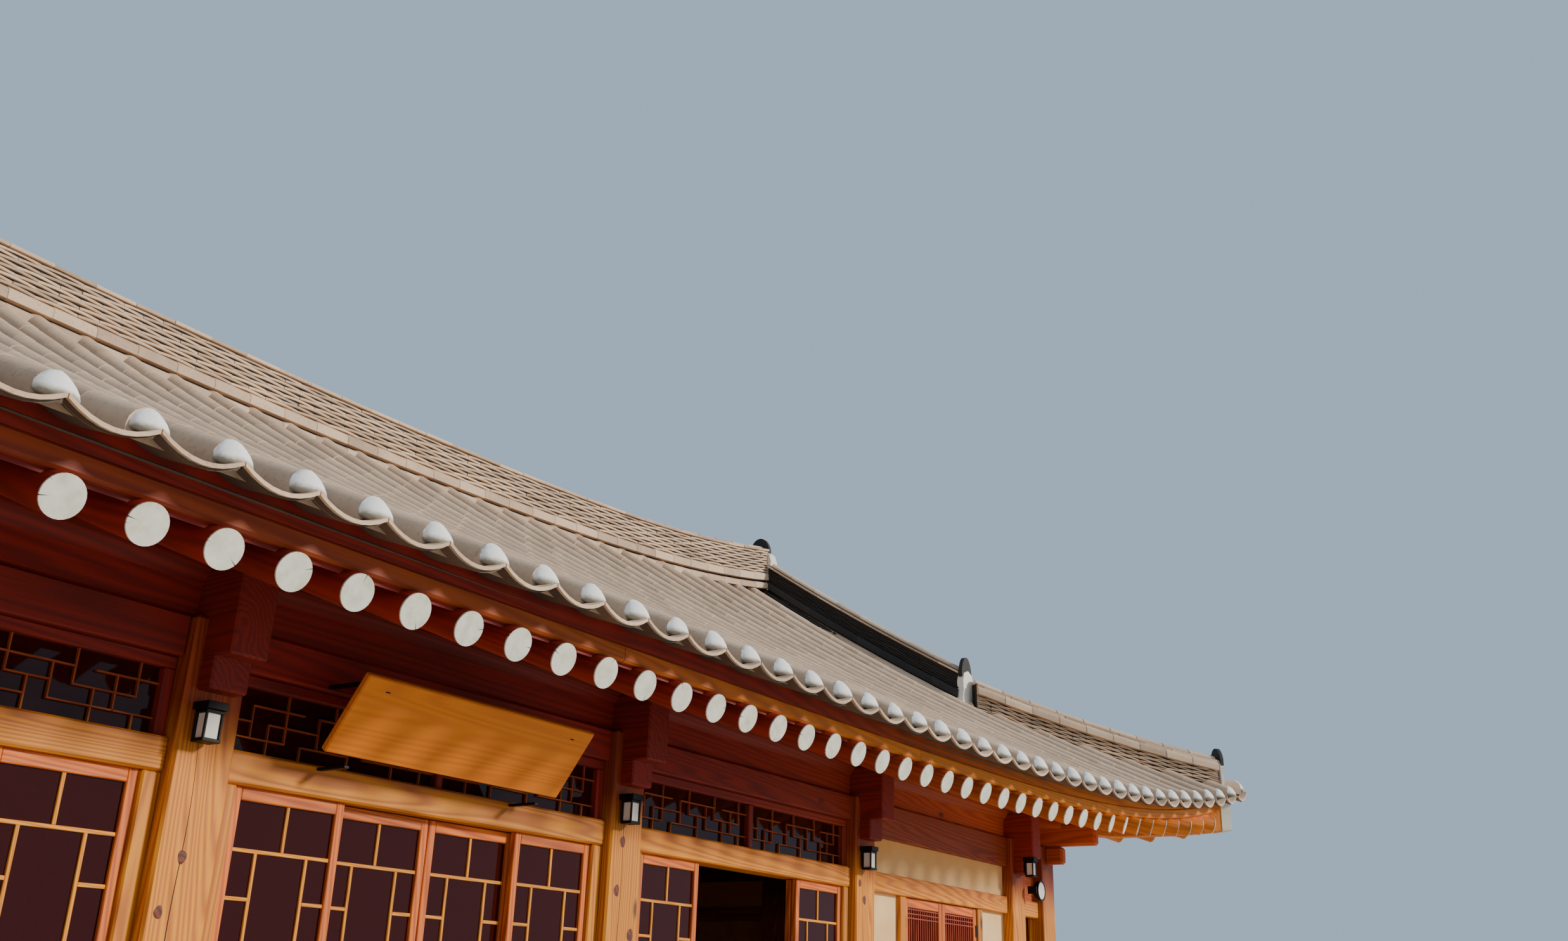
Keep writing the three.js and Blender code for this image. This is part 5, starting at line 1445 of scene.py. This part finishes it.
def ridge(name, points, spec, mat, nodes):
    # ridge from bottom to top: core, a fat row on either side, thin wavy courses, a cap row
    at, total = ridgeLine(points)
    half, height, fat = spec["half"], spec["height"], spec["fat"]
    where, side = at(np.linspace(0, total, 40))
    core = np.array([(-1, -0.12), (1, -0.12), (1, height - 0.05), (-1, height - 0.05)])
    sections = (where[:, None] + side[:, None] * ((half - 0.035) * core[:, 0])[None, :, None]
                + core[:, 1][None, :, None] * upright)
    tiles = {"replaced": nodes, "slot": "roof_tiles"}
    addPiece(name + "Core", (*tubes(sections[None]), None, None), darkClay, **tiles)
    shapes = []
    for side in (-1, 1):
        shapes.append(barRow(at, total, side * (half - 0.030), fat, 0.050, 1.0, 0.045))
        if not spec["fatOnTop"]:
            shapes.append(barRow(at, total, side * (half - 0.012), fat - 0.105, 0.046, 0.8, 0.04))
    low, top = (0.0, fat - 0.015) if spec["fatOnTop"] else (fat + 0.050, height - 0.085)
    step = (top - low) / spec["courses"]
    for i in range(spec["courses"]):
        shapes.append(thinLayer(at, total, half - 0.012 - 0.0012 * i, low + i * step, step * 0.62,
                                0.5 * (i % 2), spec["arch"]))
    cap = [thinLayer(at, total, half - 0.002, height - 0.085, 0.024, 0.25, 0.0),
           barRow(at, total, 0.0, height - 0.058, 0.078, 0.74, 0.012)]
    addPiece(name + "Tiles", merged(*shapes), mat, smooth=True, **tiles)
    addPiece(name + "Cap", merged(*cap), roofClay, smooth=True, **tiles)


def corners(points):
    # a path drawn for the front right corner, repeated for all four, with the corner's name in two words
    for name, sx, sy in (("front_right", 1, -1), ("front_left", -1, -1), ("rear_right", 1, 1),
                         ("rear_left", -1, 1)):
        yield name, np.asarray(points, float) * (sx, -sy, 1.0)


ridges = {
    "main": {"half": 0.158, "height": 0.515, "fat": 0.120, "courses": 9, "arch": 0.009, "fatOnTop": False,
             "end": 7.56, "sunk": 0.035, "endLift": 0.115, "liftFrom": 4.6, "liftOver": 3.08},
    "drop": {"half": 0.130, "height": 0.420, "fat": 0.125, "courses": 6, "arch": 0.006, "fatOnTop": False,
             "from": (7.64, -0.155), "to": (7.77, -2.48), "lift": 0.06},
    "hip": {"half": 0.115, "height": 0.330, "fat": 0.205, "courses": 9, "arch": 0.012, "fatOnTop": True,
            "from": -2.58, "to": -4.47, "lift": 0.05},
}
vergeX = 7.60


def allRidges():
    # the main ridge lifts toward its ends by a power of the way there; the others follow the tile bed
    main, drop, hipped = (ridges[key] for key in ("main", "drop", "hip"))
    x = np.linspace(-main["end"], main["end"], 60)
    swell = np.clip((np.abs(x) - main["liftFrom"]) / main["liftOver"], 0, 1) ** 2.5
    z = bedAt("front", x, roof["eaveY"]) - main["sunk"] + main["endLift"] * swell
    ridge("mainRidge", np.stack([x, 0 * x, z], -1), main, roofClay, ["main_ridge"])
    x, y = np.linspace(drop["from"], drop["to"], 14).T
    dropPath = np.stack([x, y, bedAt("front", vergeX, y + roof["eaveY"]) + drop["lift"]], -1)
    y = np.linspace(hipped["from"], hipped["to"], 14)
    x = roof["hip"] - y
    hipPath = np.stack([x, y, bedAt("front", x, y + roof["eaveY"]) + hipped["lift"]], -1)
    for key, path, clay in (("drop", dropPath, darkClay), ("hip", hipPath, roofClay)):
        for corner, points in corners(path):
            name = key + "Ridge" + corner.title().replace("_", "")
            ridge(name, points, ridges[key], clay, ["corner_ridge_" + corner])


allRidges()
print("ridges are laid")


def sheet(outline, thick, origin, side, out):
    # flat plate from an outline of (sideways, up) points, its thickness centred on the origin along out
    outline = np.asarray(outline, float)
    side, out = np.asarray(side, float), np.asarray(out, float)
    sections = [np.asarray(origin) + side * outline[:, :1] + upright * outline[:, 1:2] + out * depth
                for depth in (-thick / 2, thick / 2)]
    return *tubes(np.stack(sections)[None]), None, None


def leafOutline(wide, high):
    # outline of an upright end tile: a round shoulder drawn up to a point, wave-cut below
    t = np.linspace(-1, 1, 25)
    upper = [(wide * s, high * (1 - abs(s) ** 2.2) ** 0.75) for s in t]
    lower = [(wide * s, -0.05 - 0.02 * np.cos(2 * np.pi * s)) for s in t[::-1][::3]]
    return upper + lower


def plasterOutline(half):
    # the right half of a lumpy plaster block from its foot to its top, and the same points on the left
    right = [point for point in half if point[0] > 0]
    return right + [point for point in half if point[0] == 0] + [(-x, z) for x, z in right[::-1]]


# Each ridge end: half of the plaster's outline, its thickness and how far it stands out, and the end tile's
# half width, height, thickness, stand-out and height above the ridge's foot
ridgeEnd = {
    "main": {"block": ((0.19, 0.00), (0.20, 0.10), (0.175, 0.19), (0.185, 0.29), (0.155, 0.38),
                       (0.07, 0.455)),
             "thick": 0.13, "out": 0.015, "leaf": (0.135, 0.150), "leafThick": 0.045, "leafOut": 0.0,
             "up": 0.445},
    "drop": {"block": ((0.12, -0.04), (0.13, 0.08), (0.11, 0.16), (0.12, 0.25), (0.09, 0.34), (0, 0.375)),
             "thick": 0.07, "out": 0.03, "leaf": (0.115, 0.150), "leafThick": 0.04, "leafOut": 0.03,
             "up": 0.37},
    "hip": {"block": ((0.10, -0.03), (0.11, 0.06), (0.10, 0.14), (0.105, 0.22), (0.07, 0.28)),
            "thick": 0.03, "out": 0.002, "leaf": (0.105, 0.125), "leafThick": 0.035, "leafOut": 0.012,
            "up": 0.29},
}
hipEndX = 9.75


def ridgeEnds():
    # white plaster closes the end of every ridge, with an upright end tile on it
    leaves, whites = [], []

    def close(spec, foot, side, out):
        out = np.asarray(out, float)
        leaves.append(sheet(leafOutline(*spec["leaf"]), spec["leafThick"],
                            foot + out * spec["leafOut"] + upright * spec["up"], side, out))
        whites.append(sheet(plasterOutline(spec["block"]), spec["thick"],
                            foot + out * spec["out"], side, out))

    def bedHeight(x, y):
        return float(bedAt("front", x, roof["eaveY"] + y))

    z = bedHeight(vergeX, 0) + ridges["main"]["endLift"] - ridges["main"]["sunk"]
    for sx in (-1, 1):
        close(ridgeEnd["main"], np.array([sx * vergeX, 0, z]), (0, 1, 0), (sx, 0, 0))
    x, y = ridges["drop"]["to"]
    for _, (foot,) in corners([(x, y, bedHeight(vergeX, y) + ridges["drop"]["lift"])]):
        close(ridgeEnd["drop"], foot, (1.0, 0, 0), (0, np.sign(foot[1]), 0))
    y = roof["hip"] - hipEndX
    for _, (foot,) in corners([(hipEndX, y, bedHeight(hipEndX, y) + ridges["hip"]["lift"])]):
        out = np.array([np.sign(foot[0]), np.sign(foot[1]), 0]) / np.sqrt(2)
        close(ridgeEnd["hip"], foot, (-out[1], out[0], 0), out)
    addPiece("ridgeEndLeaves", merged(*leaves), darkClay, slot="roof_tiles")
    addPiece("ridgeEndPlaster", merged(*whites), ridgePlaster)


ridgeEnds()
print("ridge ends are set")

# Ground works: granite kerb, paving, base stones and the plank floor
ground = {"x": 9.0, "y": 3.75, "kerb": 0.35, "top": 0.30, "joint": 0.004, "kerbStone": 1.25,
          "sideKerbStone": 1.15, "fill": 0.035, "slabFrom": 0.20, "slab": 0.62, "sideSlab": 0.60,
          "slabJoint": 0.005, "slabEnd": 3.0, "under": 0.08, "clear": 0.004, "base": 0.215, "baseLow": 0.25,
          "baseTop": 0.390, "step": 0.022, "stepHigh": 0.028, "stepLow": 0.30}
plank = {"x": 8.35, "y": 3.10, "top": 0.389, "wide": 0.20, "thick": 0.04, "joint": 0.002, "edge": 0.12}


def rowOf(a, b, length, gap):
    # cuts of a run from a to b into equal lengths near the
    # wanted one, as pairs with half the gap off each side
    cuts = np.linspace(a, b, max(1, int(round((b - a) / length))) + 1)
    return [(p + gap / 2, q - gap / 2) for p, q in zip(cuts[:-1], cuts[1:])]


def platform():
    # kerb stones round a bed, a row of paving slabs along
    # each side, and a stepped base stone under every column
    g = ground
    inX, inY = g["x"] - g["kerb"], g["y"] - g["kerb"]
    farX, farY = inX - g["clear"], inY - g["clear"]
    stones = []
    paving = [(-inX + 0.002, inX - 0.002, -inY + 0.002, inY - 0.002, 0, g["top"] - g["fill"], 0)]
    for side in (-1, 1):
        y0, y1 = sorted((side * inY, side * g["y"]))
        stones += [(p, q, y0, y1, 0, g["top"], 0)
                   for p, q in rowOf(-g["x"], g["x"], g["kerbStone"], g["joint"])]
        x0, x1 = sorted((side * inX, side * g["x"]))
        stones += [(x0, x1, p, q, 0, g["top"] - 0.0005, 1)
                   for p, q in rowOf(-inY, inY, g["sideKerbStone"], g["joint"])]
        y0, y1 = sorted((side * (plank["y"] - g["under"]), side * farY))
        paving += [(p, q, y0, y1, g["slabFrom"], g["top"] - 0.002, 0)
                   for p, q in rowOf(-farX, farX, g["slab"], g["slabJoint"])]
        x0, x1 = sorted((side * (plank["x"] - g["under"]), side * farX))
        paving += [(x0, x1, p, q, g["slabFrom"], g["top"] - 0.003, 1)
                   for p, q in rowOf(-g["slabEnd"], g["slabEnd"], g["sideSlab"], g["slabJoint"])]
    slot = "platform_stone"
    boxPieces([("kerbStones", stones, 0.014, stone, slot), ("paving", paving, 0.006, stone, slot)],
              ["stone_platform"])
    spots = [(x, y) for x in frameX + [-wall["corner"], wall["corner"]]
             for y in (-wall["rowY"], wall["rowY"])]
    spots += [(-wall["corner"], 0.0), (wall["corner"], 0.0)]
    shapes = []
    for half, low, high, bevel in ((g["base"], g["baseLow"], g["baseTop"] - g["stepHigh"], 0.012),
                                   (g["base"] - g["step"], g["stepLow"], g["baseTop"], 0.020)):
        shapes.append(boxes([(x - half, x + half, y - half, y + half, low, high, 2) for x, y in spots],
                            bevel))
    addPiece("baseStones", merged(*shapes), stone, replaced=["stone_platform"], slot=slot)


def plankFloor():
    # planks between the frame lines, and an edge board along every side
    n = plank
    inX, inY = n["x"] - n["edge"], n["y"] - n["edge"]
    joists = [-n["x"]] + frameX + [n["x"]]
    planks = [(a + 0.001, b - 0.001, y0, y1, n["top"] - n["thick"], n["top"], 0)
              for y0, y1 in rowOf(-inY, inY, n["wide"], n["joint"]) for a, b in zip(joists[:-1], joists[1:])]
    low = ground["top"] + 0.001
    edges = [(-n["x"], n["x"], *sorted((s * n["y"], s * inY)), low, n["top"] - 0.001, 0) for s in (-1, 1)]
    edges += [(*sorted((s * n["x"], s * inX)), -inY, inY, low, n["top"] - 0.0012, 1) for s in (-1, 1)]
    boxPieces([("floorPlanks", planks, 0.002, sunWood, "floor_timber"),
               ("floorEdge", edges, 0.006, sunWood, "floor_timber")], ["timber_floor"])


platform()
plankFloor()
print("platform and floor are laid")

purlin = {"eaveZ": 3.414, "eaveR": 0.102, "reach": 0.33, "innerR": 0.092, "midY": 1.0, "midZ": 4.230,
          "midX": 6.19, "ridgeZ": 5.087, "ridgeX": 7.504, "wobble": 0.008}
bearer = {"half": 0.055, "short": 0.06, "stub": 3.68, "low": 3.162, "top": 3.375, "tieFrom": 3.14,
          "tieStub": 3.33, "tieLow": 2.99, "tieTop": 3.155}


def purlinLogs(name, pairs, radius, sides, stations, nodes):
    starts, stops = (np.array([pair[k] for pair in pairs]) for k in (0, 1))
    addPiece(name, logs(starts, stops, (radius, radius), sides, stations, purlin["wobble"]), shadeWood,
             replaced=nodes, slot="roof_timber", smooth=True)


def purlins():
    # round logs with their squared bearers, lapped at the corners; the inner ones run between the gables
    n, w, b = purlin, wall, bearer
    farX, farY = w["corner"] + n["reach"], w["rowY"] + n["reach"]
    outer = [((-farX, s * w["rowY"], n["eaveZ"]), (farX, s * w["rowY"], n["eaveZ"])) for s in (-1, 1)]
    outer += [((s * w["corner"], -farY, n["eaveZ"]), (s * w["corner"], farY, n["eaveZ"])) for s in (-1, 1)]
    nodes = [slope + "_eave_purlin" for slope in slopes]
    purlinLogs("eavePurlins", outer, n["eaveR"], 32, 12, nodes)
    h, endX = b["half"], farX - b["short"]
    bearers = [(-endX, endX, s * w["rowY"] - h, s * w["rowY"] + h, b["low"], b["top"], 0) for s in (-1, 1)]
    bearers += [(s * w["corner"] - h, s * w["corner"] + h, -b["stub"], b["stub"],
                 b["low"] - 0.0005, b["top"] - 0.0005, 1) for s in (-1, 1)]
    bearers += [(s * w["corner"] - h, s * w["corner"] + h, *sorted((t * b["tieFrom"], t * b["tieStub"])),
                 b["tieLow"], b["tieTop"], 1) for s in (-1, 1) for t in (-1, 1)]
    boxPieces([("purlinBearers", bearers, 0.022, shadeWood, "roof_timber")], nodes)
    inner = [((-n["midX"], s * n["midY"], n["midZ"]), (n["midX"], s * n["midY"], n["midZ"])) for s in (-1, 1)]
    inner.append(((-n["ridgeX"], 0, n["ridgeZ"]), (n["ridgeX"], 0, n["ridgeZ"])))
    purlinLogs("innerPurlins", inner, n["innerR"], 28, 10,
               ["front_mid_purlin", "ridge_purlin", "rear_mid_purlin"])


beam = {"half": 0.10, "reach": 3.35, "low": 2.975, "top": 3.39, "block": 2.83, "blockOut": 3.245,
        "blockIn": 2.755, "post": 0.09, "postY": 0.91, "collar": 1.05, "collarLow": 3.90, "collarTop": 4.08,
        "king": 5.09, "tenon": 0.02, "shy": 0.001}


def crossBeams():
    # a beam over each column pair with a block under either
    # end, and on the inner ones posts, collar and king post
    b = beam
    half, post, shy, tenon = b["half"], b["post"], b["shy"], b["tenon"]
    members = []
    for x in frameX:
        members.append((x - half, x + half, -b["reach"], b["reach"], b["low"], b["top"], 1))
        members += [(x - half + shy, x + half - shy, *sorted((s * b["blockIn"], s * b["blockOut"])),
                     b["block"], b["low"] + 0.01, 1) for s in (-1, 1)]
        if x in frameX[1:-1]:
            members += [(x - post, x + post, y - post, y + post, b["top"] - tenon, b["collarLow"] + tenon, 2)
                        for y in (-b["postY"], b["postY"])]
            members.append((x - post + shy, x + post - shy, -b["collar"], b["collar"], b["collarLow"],
                            b["collarTop"], 1))
            members.append((x - post, x + post, -post, post, b["collarTop"] - tenon, b["king"], 2))
    boxPieces([("crossBeams", members, 0.010, shadedBeamWood, "frame_timber")],
              ["cross_beam_%d" % n for n in range(1, 7)])


purlins()
crossBeams()
print("beams and purlins are up")

signBoard = {"half": 0.82, "high": 0.42, "thick": 0.040, "lean": 36.0, "foot": (-0.16, -3.30, 2.644),
             "iron": 0.67, "ironHalf": 0.015,
             "irons": ((-3.50, -3.095, 2.985, 3.003, 1), (-3.512, -3.482, 2.93, 3.003, 2),
                       (-3.293, -3.095, 2.59, 2.604, 1))}


def nameBoard():
    # bare board leaning forward: the box is turned about
    # its lower edge by the lean; irons run back to the wall
    n = signBoard
    points, faceSets, grain, tone = boxes([(-n["half"], n["half"], 0, n["thick"], 0, n["high"], 0)], 0.007)
    lean = np.radians(n["lean"])
    x, y, z = points.T
    leaning = np.stack([x, y * np.cos(lean) - z * np.sin(lean), y * np.sin(lean) + z * np.cos(lean)], -1)
    addPiece("nameBoard", (leaning + n["foot"], faceSets, grain, tone), boardWood, replaced=["name_board"],
             slot="board_timber")
    middles = [n["foot"][0] + s * n["iron"] for s in (-1, 1)]
    irons = [(x - n["ironHalf"], x + n["ironHalf"], *iron) for x in middles for iron in n["irons"]]
    boxPieces([("nameBoardIrons", irons, 0.002, blackIron, None)], ["name_board"])


nameBoard()

gable = {"wallIn": 7.505, "boardOut": 7.543, "bargeIn": 7.85, "bargeOut": 7.91,
         "half": 1.86, "under": 0.185, "deep": 0.34, "board": 0.186, "boards": 10, "joint": 0.002,
         "batten": 0.022, "battenIn": 7.541, "battenOut": 7.565, "groove": 0.012, "purlinR": 0.090,
         "purlinY": (-1.5, 0.0, 1.5), "purlinDrop": 0.19, "foot": 4.02}


def underVerge(y, x):
    # height under the verge at y: the tile bed's height there less the verge's own depth
    return bedAt("front", np.asarray(x, float), roof["eaveY"] - np.abs(y)) - gable["under"]


def bothEnds(points):
    # points of the right end and their copies half a turn round, as one stack
    return np.concatenate([points, points * (-1.0, -1.0, 1.0)])


def gables():
    # boards with battens over their joints, barge boards with a groove, and the purlins' ends between them
    g = gable
    nodes = {"replaced": ["left_gable", "right_gable"], "slot": "gable_boards"}
    cuts = np.arange(-g["boards"], g["boards"] + 1) * g["board"]
    lines = [(a + g["joint"], b - g["joint"], g["wallIn"], g["boardOut"])
             for a, b in zip(cuts[:-1], cuts[1:])]
    lines += [(c - g["batten"], c + g["batten"], g["battenIn"], g["battenOut"]) for c in cuts[1:-1]]
    sections = []
    for a, b, x0, x1 in lines:
        tops = [float(underVerge(y, 7.53)) - 0.004 for y in (a, b)]
        sections.append([[(x0, y, g["foot"]), (x1, y, g["foot"]), (x1, y, top), (x0, y, top)]
                         for y, top in zip((a, b), tops)])
    points, faceSets = tubes(bothEnds(np.array(sections)))
    shift = draw.uniform(0, 20, (2 * len(lines), 1, 3)).repeat(8, 1).reshape(-1, 3)
    addPiece("gableBoards", (points, faceSets, points[:, [2, 0, 1]] + shift, shift[:, 0] / 20), shadeWood,
             **nodes)
    halves = []
    back, front, inside = g["bargeIn"], g["bargeOut"], g["bargeOut"] - g["groove"]
    for s in (-1, 1):
        ys = s * np.linspace(0.002, g["half"], 14)
        top = underVerge(ys, 7.88) - 0.002
        low = top - g["deep"]
        ring = [(back, low), (front, low), (front, low + 0.03), (inside, low + 0.04), (inside, top - 0.04),
                (front, top - 0.03), (front, top), (back, top)]
        halves.append(np.stack([np.stack([np.full(len(ys), x), ys, z], -1) for x, z in ring], 1))
    points, faceSets = tubes(bothEnds(np.stack(halves)))
    addPiece("bargeBoards", (points, faceSets, points[:, [1, 2, 0]], None), shadedEaveWood, **nodes)
    starts, stops = (bothEnds(np.array([(end, y, float(underVerge(y, x)) - g["purlinDrop"])
                                        for y in g["purlinY"]]))
                     for end, x in ((g["wallIn"], 7.5), (back + 0.02, 7.85)))
    addPiece("gablePurlinEnds", logs(starts, stops, (g["purlinR"],) * 2, 24, 3, 0.01), shadeWood,
             smooth=True, **nodes)


verge = {"in": 7.52, "out": 7.945, "x": 7.75, "rafter": 0.035, "deep": 0.085, "drop": 0.075, "pitch": 0.27,
         "first": 0.10, "last": 1.95, "board": 0.030, "boardIn": 7.50, "boardDrop": 0.044, "boardEnd": 2.15,
         "tileIn": 7.74, "tileOut": 7.955, "tileFirst": 0.22, "tiles": 7, "tileLift": 0.020,
         "tileRise": 0.045, "plugIn": 0.015, "plug": 0.82}


def verges():
    # short squared rafters and boards under the verge, and the tiles laid crosswise on it with their plugs
    v = verge
    rafter, board = [], []
    for y in np.concatenate([s * (v["first"] + v["pitch"] * np.arange(8)) for s in (-1, 1)]):
        if abs(y) <= v["last"]:
            z = float(bedAt("front", v["x"], roof["eaveY"] - abs(y))) - v["drop"]
            rafter.append((v["in"], v["out"] - 0.01, y - v["rafter"], y + v["rafter"], z - v["deep"], z, 0))
    rafter += quarterTurns(rafter, 2)
    boxPieces([("vergeRafters", rafter, 0.006, shadedEaveWood, "gable_boards")])
    for s in (-1, 1):
        ys = s * np.linspace(0.0, v["boardEnd"], 12)
        top = bedAt("front", v["x"], roof["eaveY"] - np.abs(ys)) - v["boardDrop"]
        ring = [(v["boardIn"], top - v["board"]), (v["out"], top - v["board"]), (v["out"], top),
                (v["boardIn"], top)]
        board.append(np.stack([np.stack([np.full(len(ys), x), ys, z], -1) for x, z in ring], 1))
    points, faceSets = tubes(bothEnds(np.stack(board)))
    addPiece("vergeBoards", (points, faceSets, points[:, [1, 0, 2]], None), shadeWood, slot="gable_boards")
    y = np.concatenate([s * (v["tileFirst"] + roof["pitch"] * np.arange(v["tiles"])) for s in (-1, 1)])
    z = bedAt("front", 7.9, roof["eaveY"] - np.abs(y)) + v["tileLift"]
    low = bothEnds(np.stack([0 * y + v["tileOut"], y, z], -1))
    high = bothEnds(np.stack([0 * y + v["tileIn"], y, z + v["tileRise"]], -1))
    addPiece("vergeTiles", halfTiles(low, high, 0.078, 0.074, 0.05), roofClay, slot="roof_tiles", smooth=True)
    outs = np.sign(low) * (1, 0, 0)
    addPiece("vergePlugs", plugs(low - outs * v["plugIn"], outs, v["plug"]), plugLime, smooth=True)


gables()
verges()
print("gables are closed")
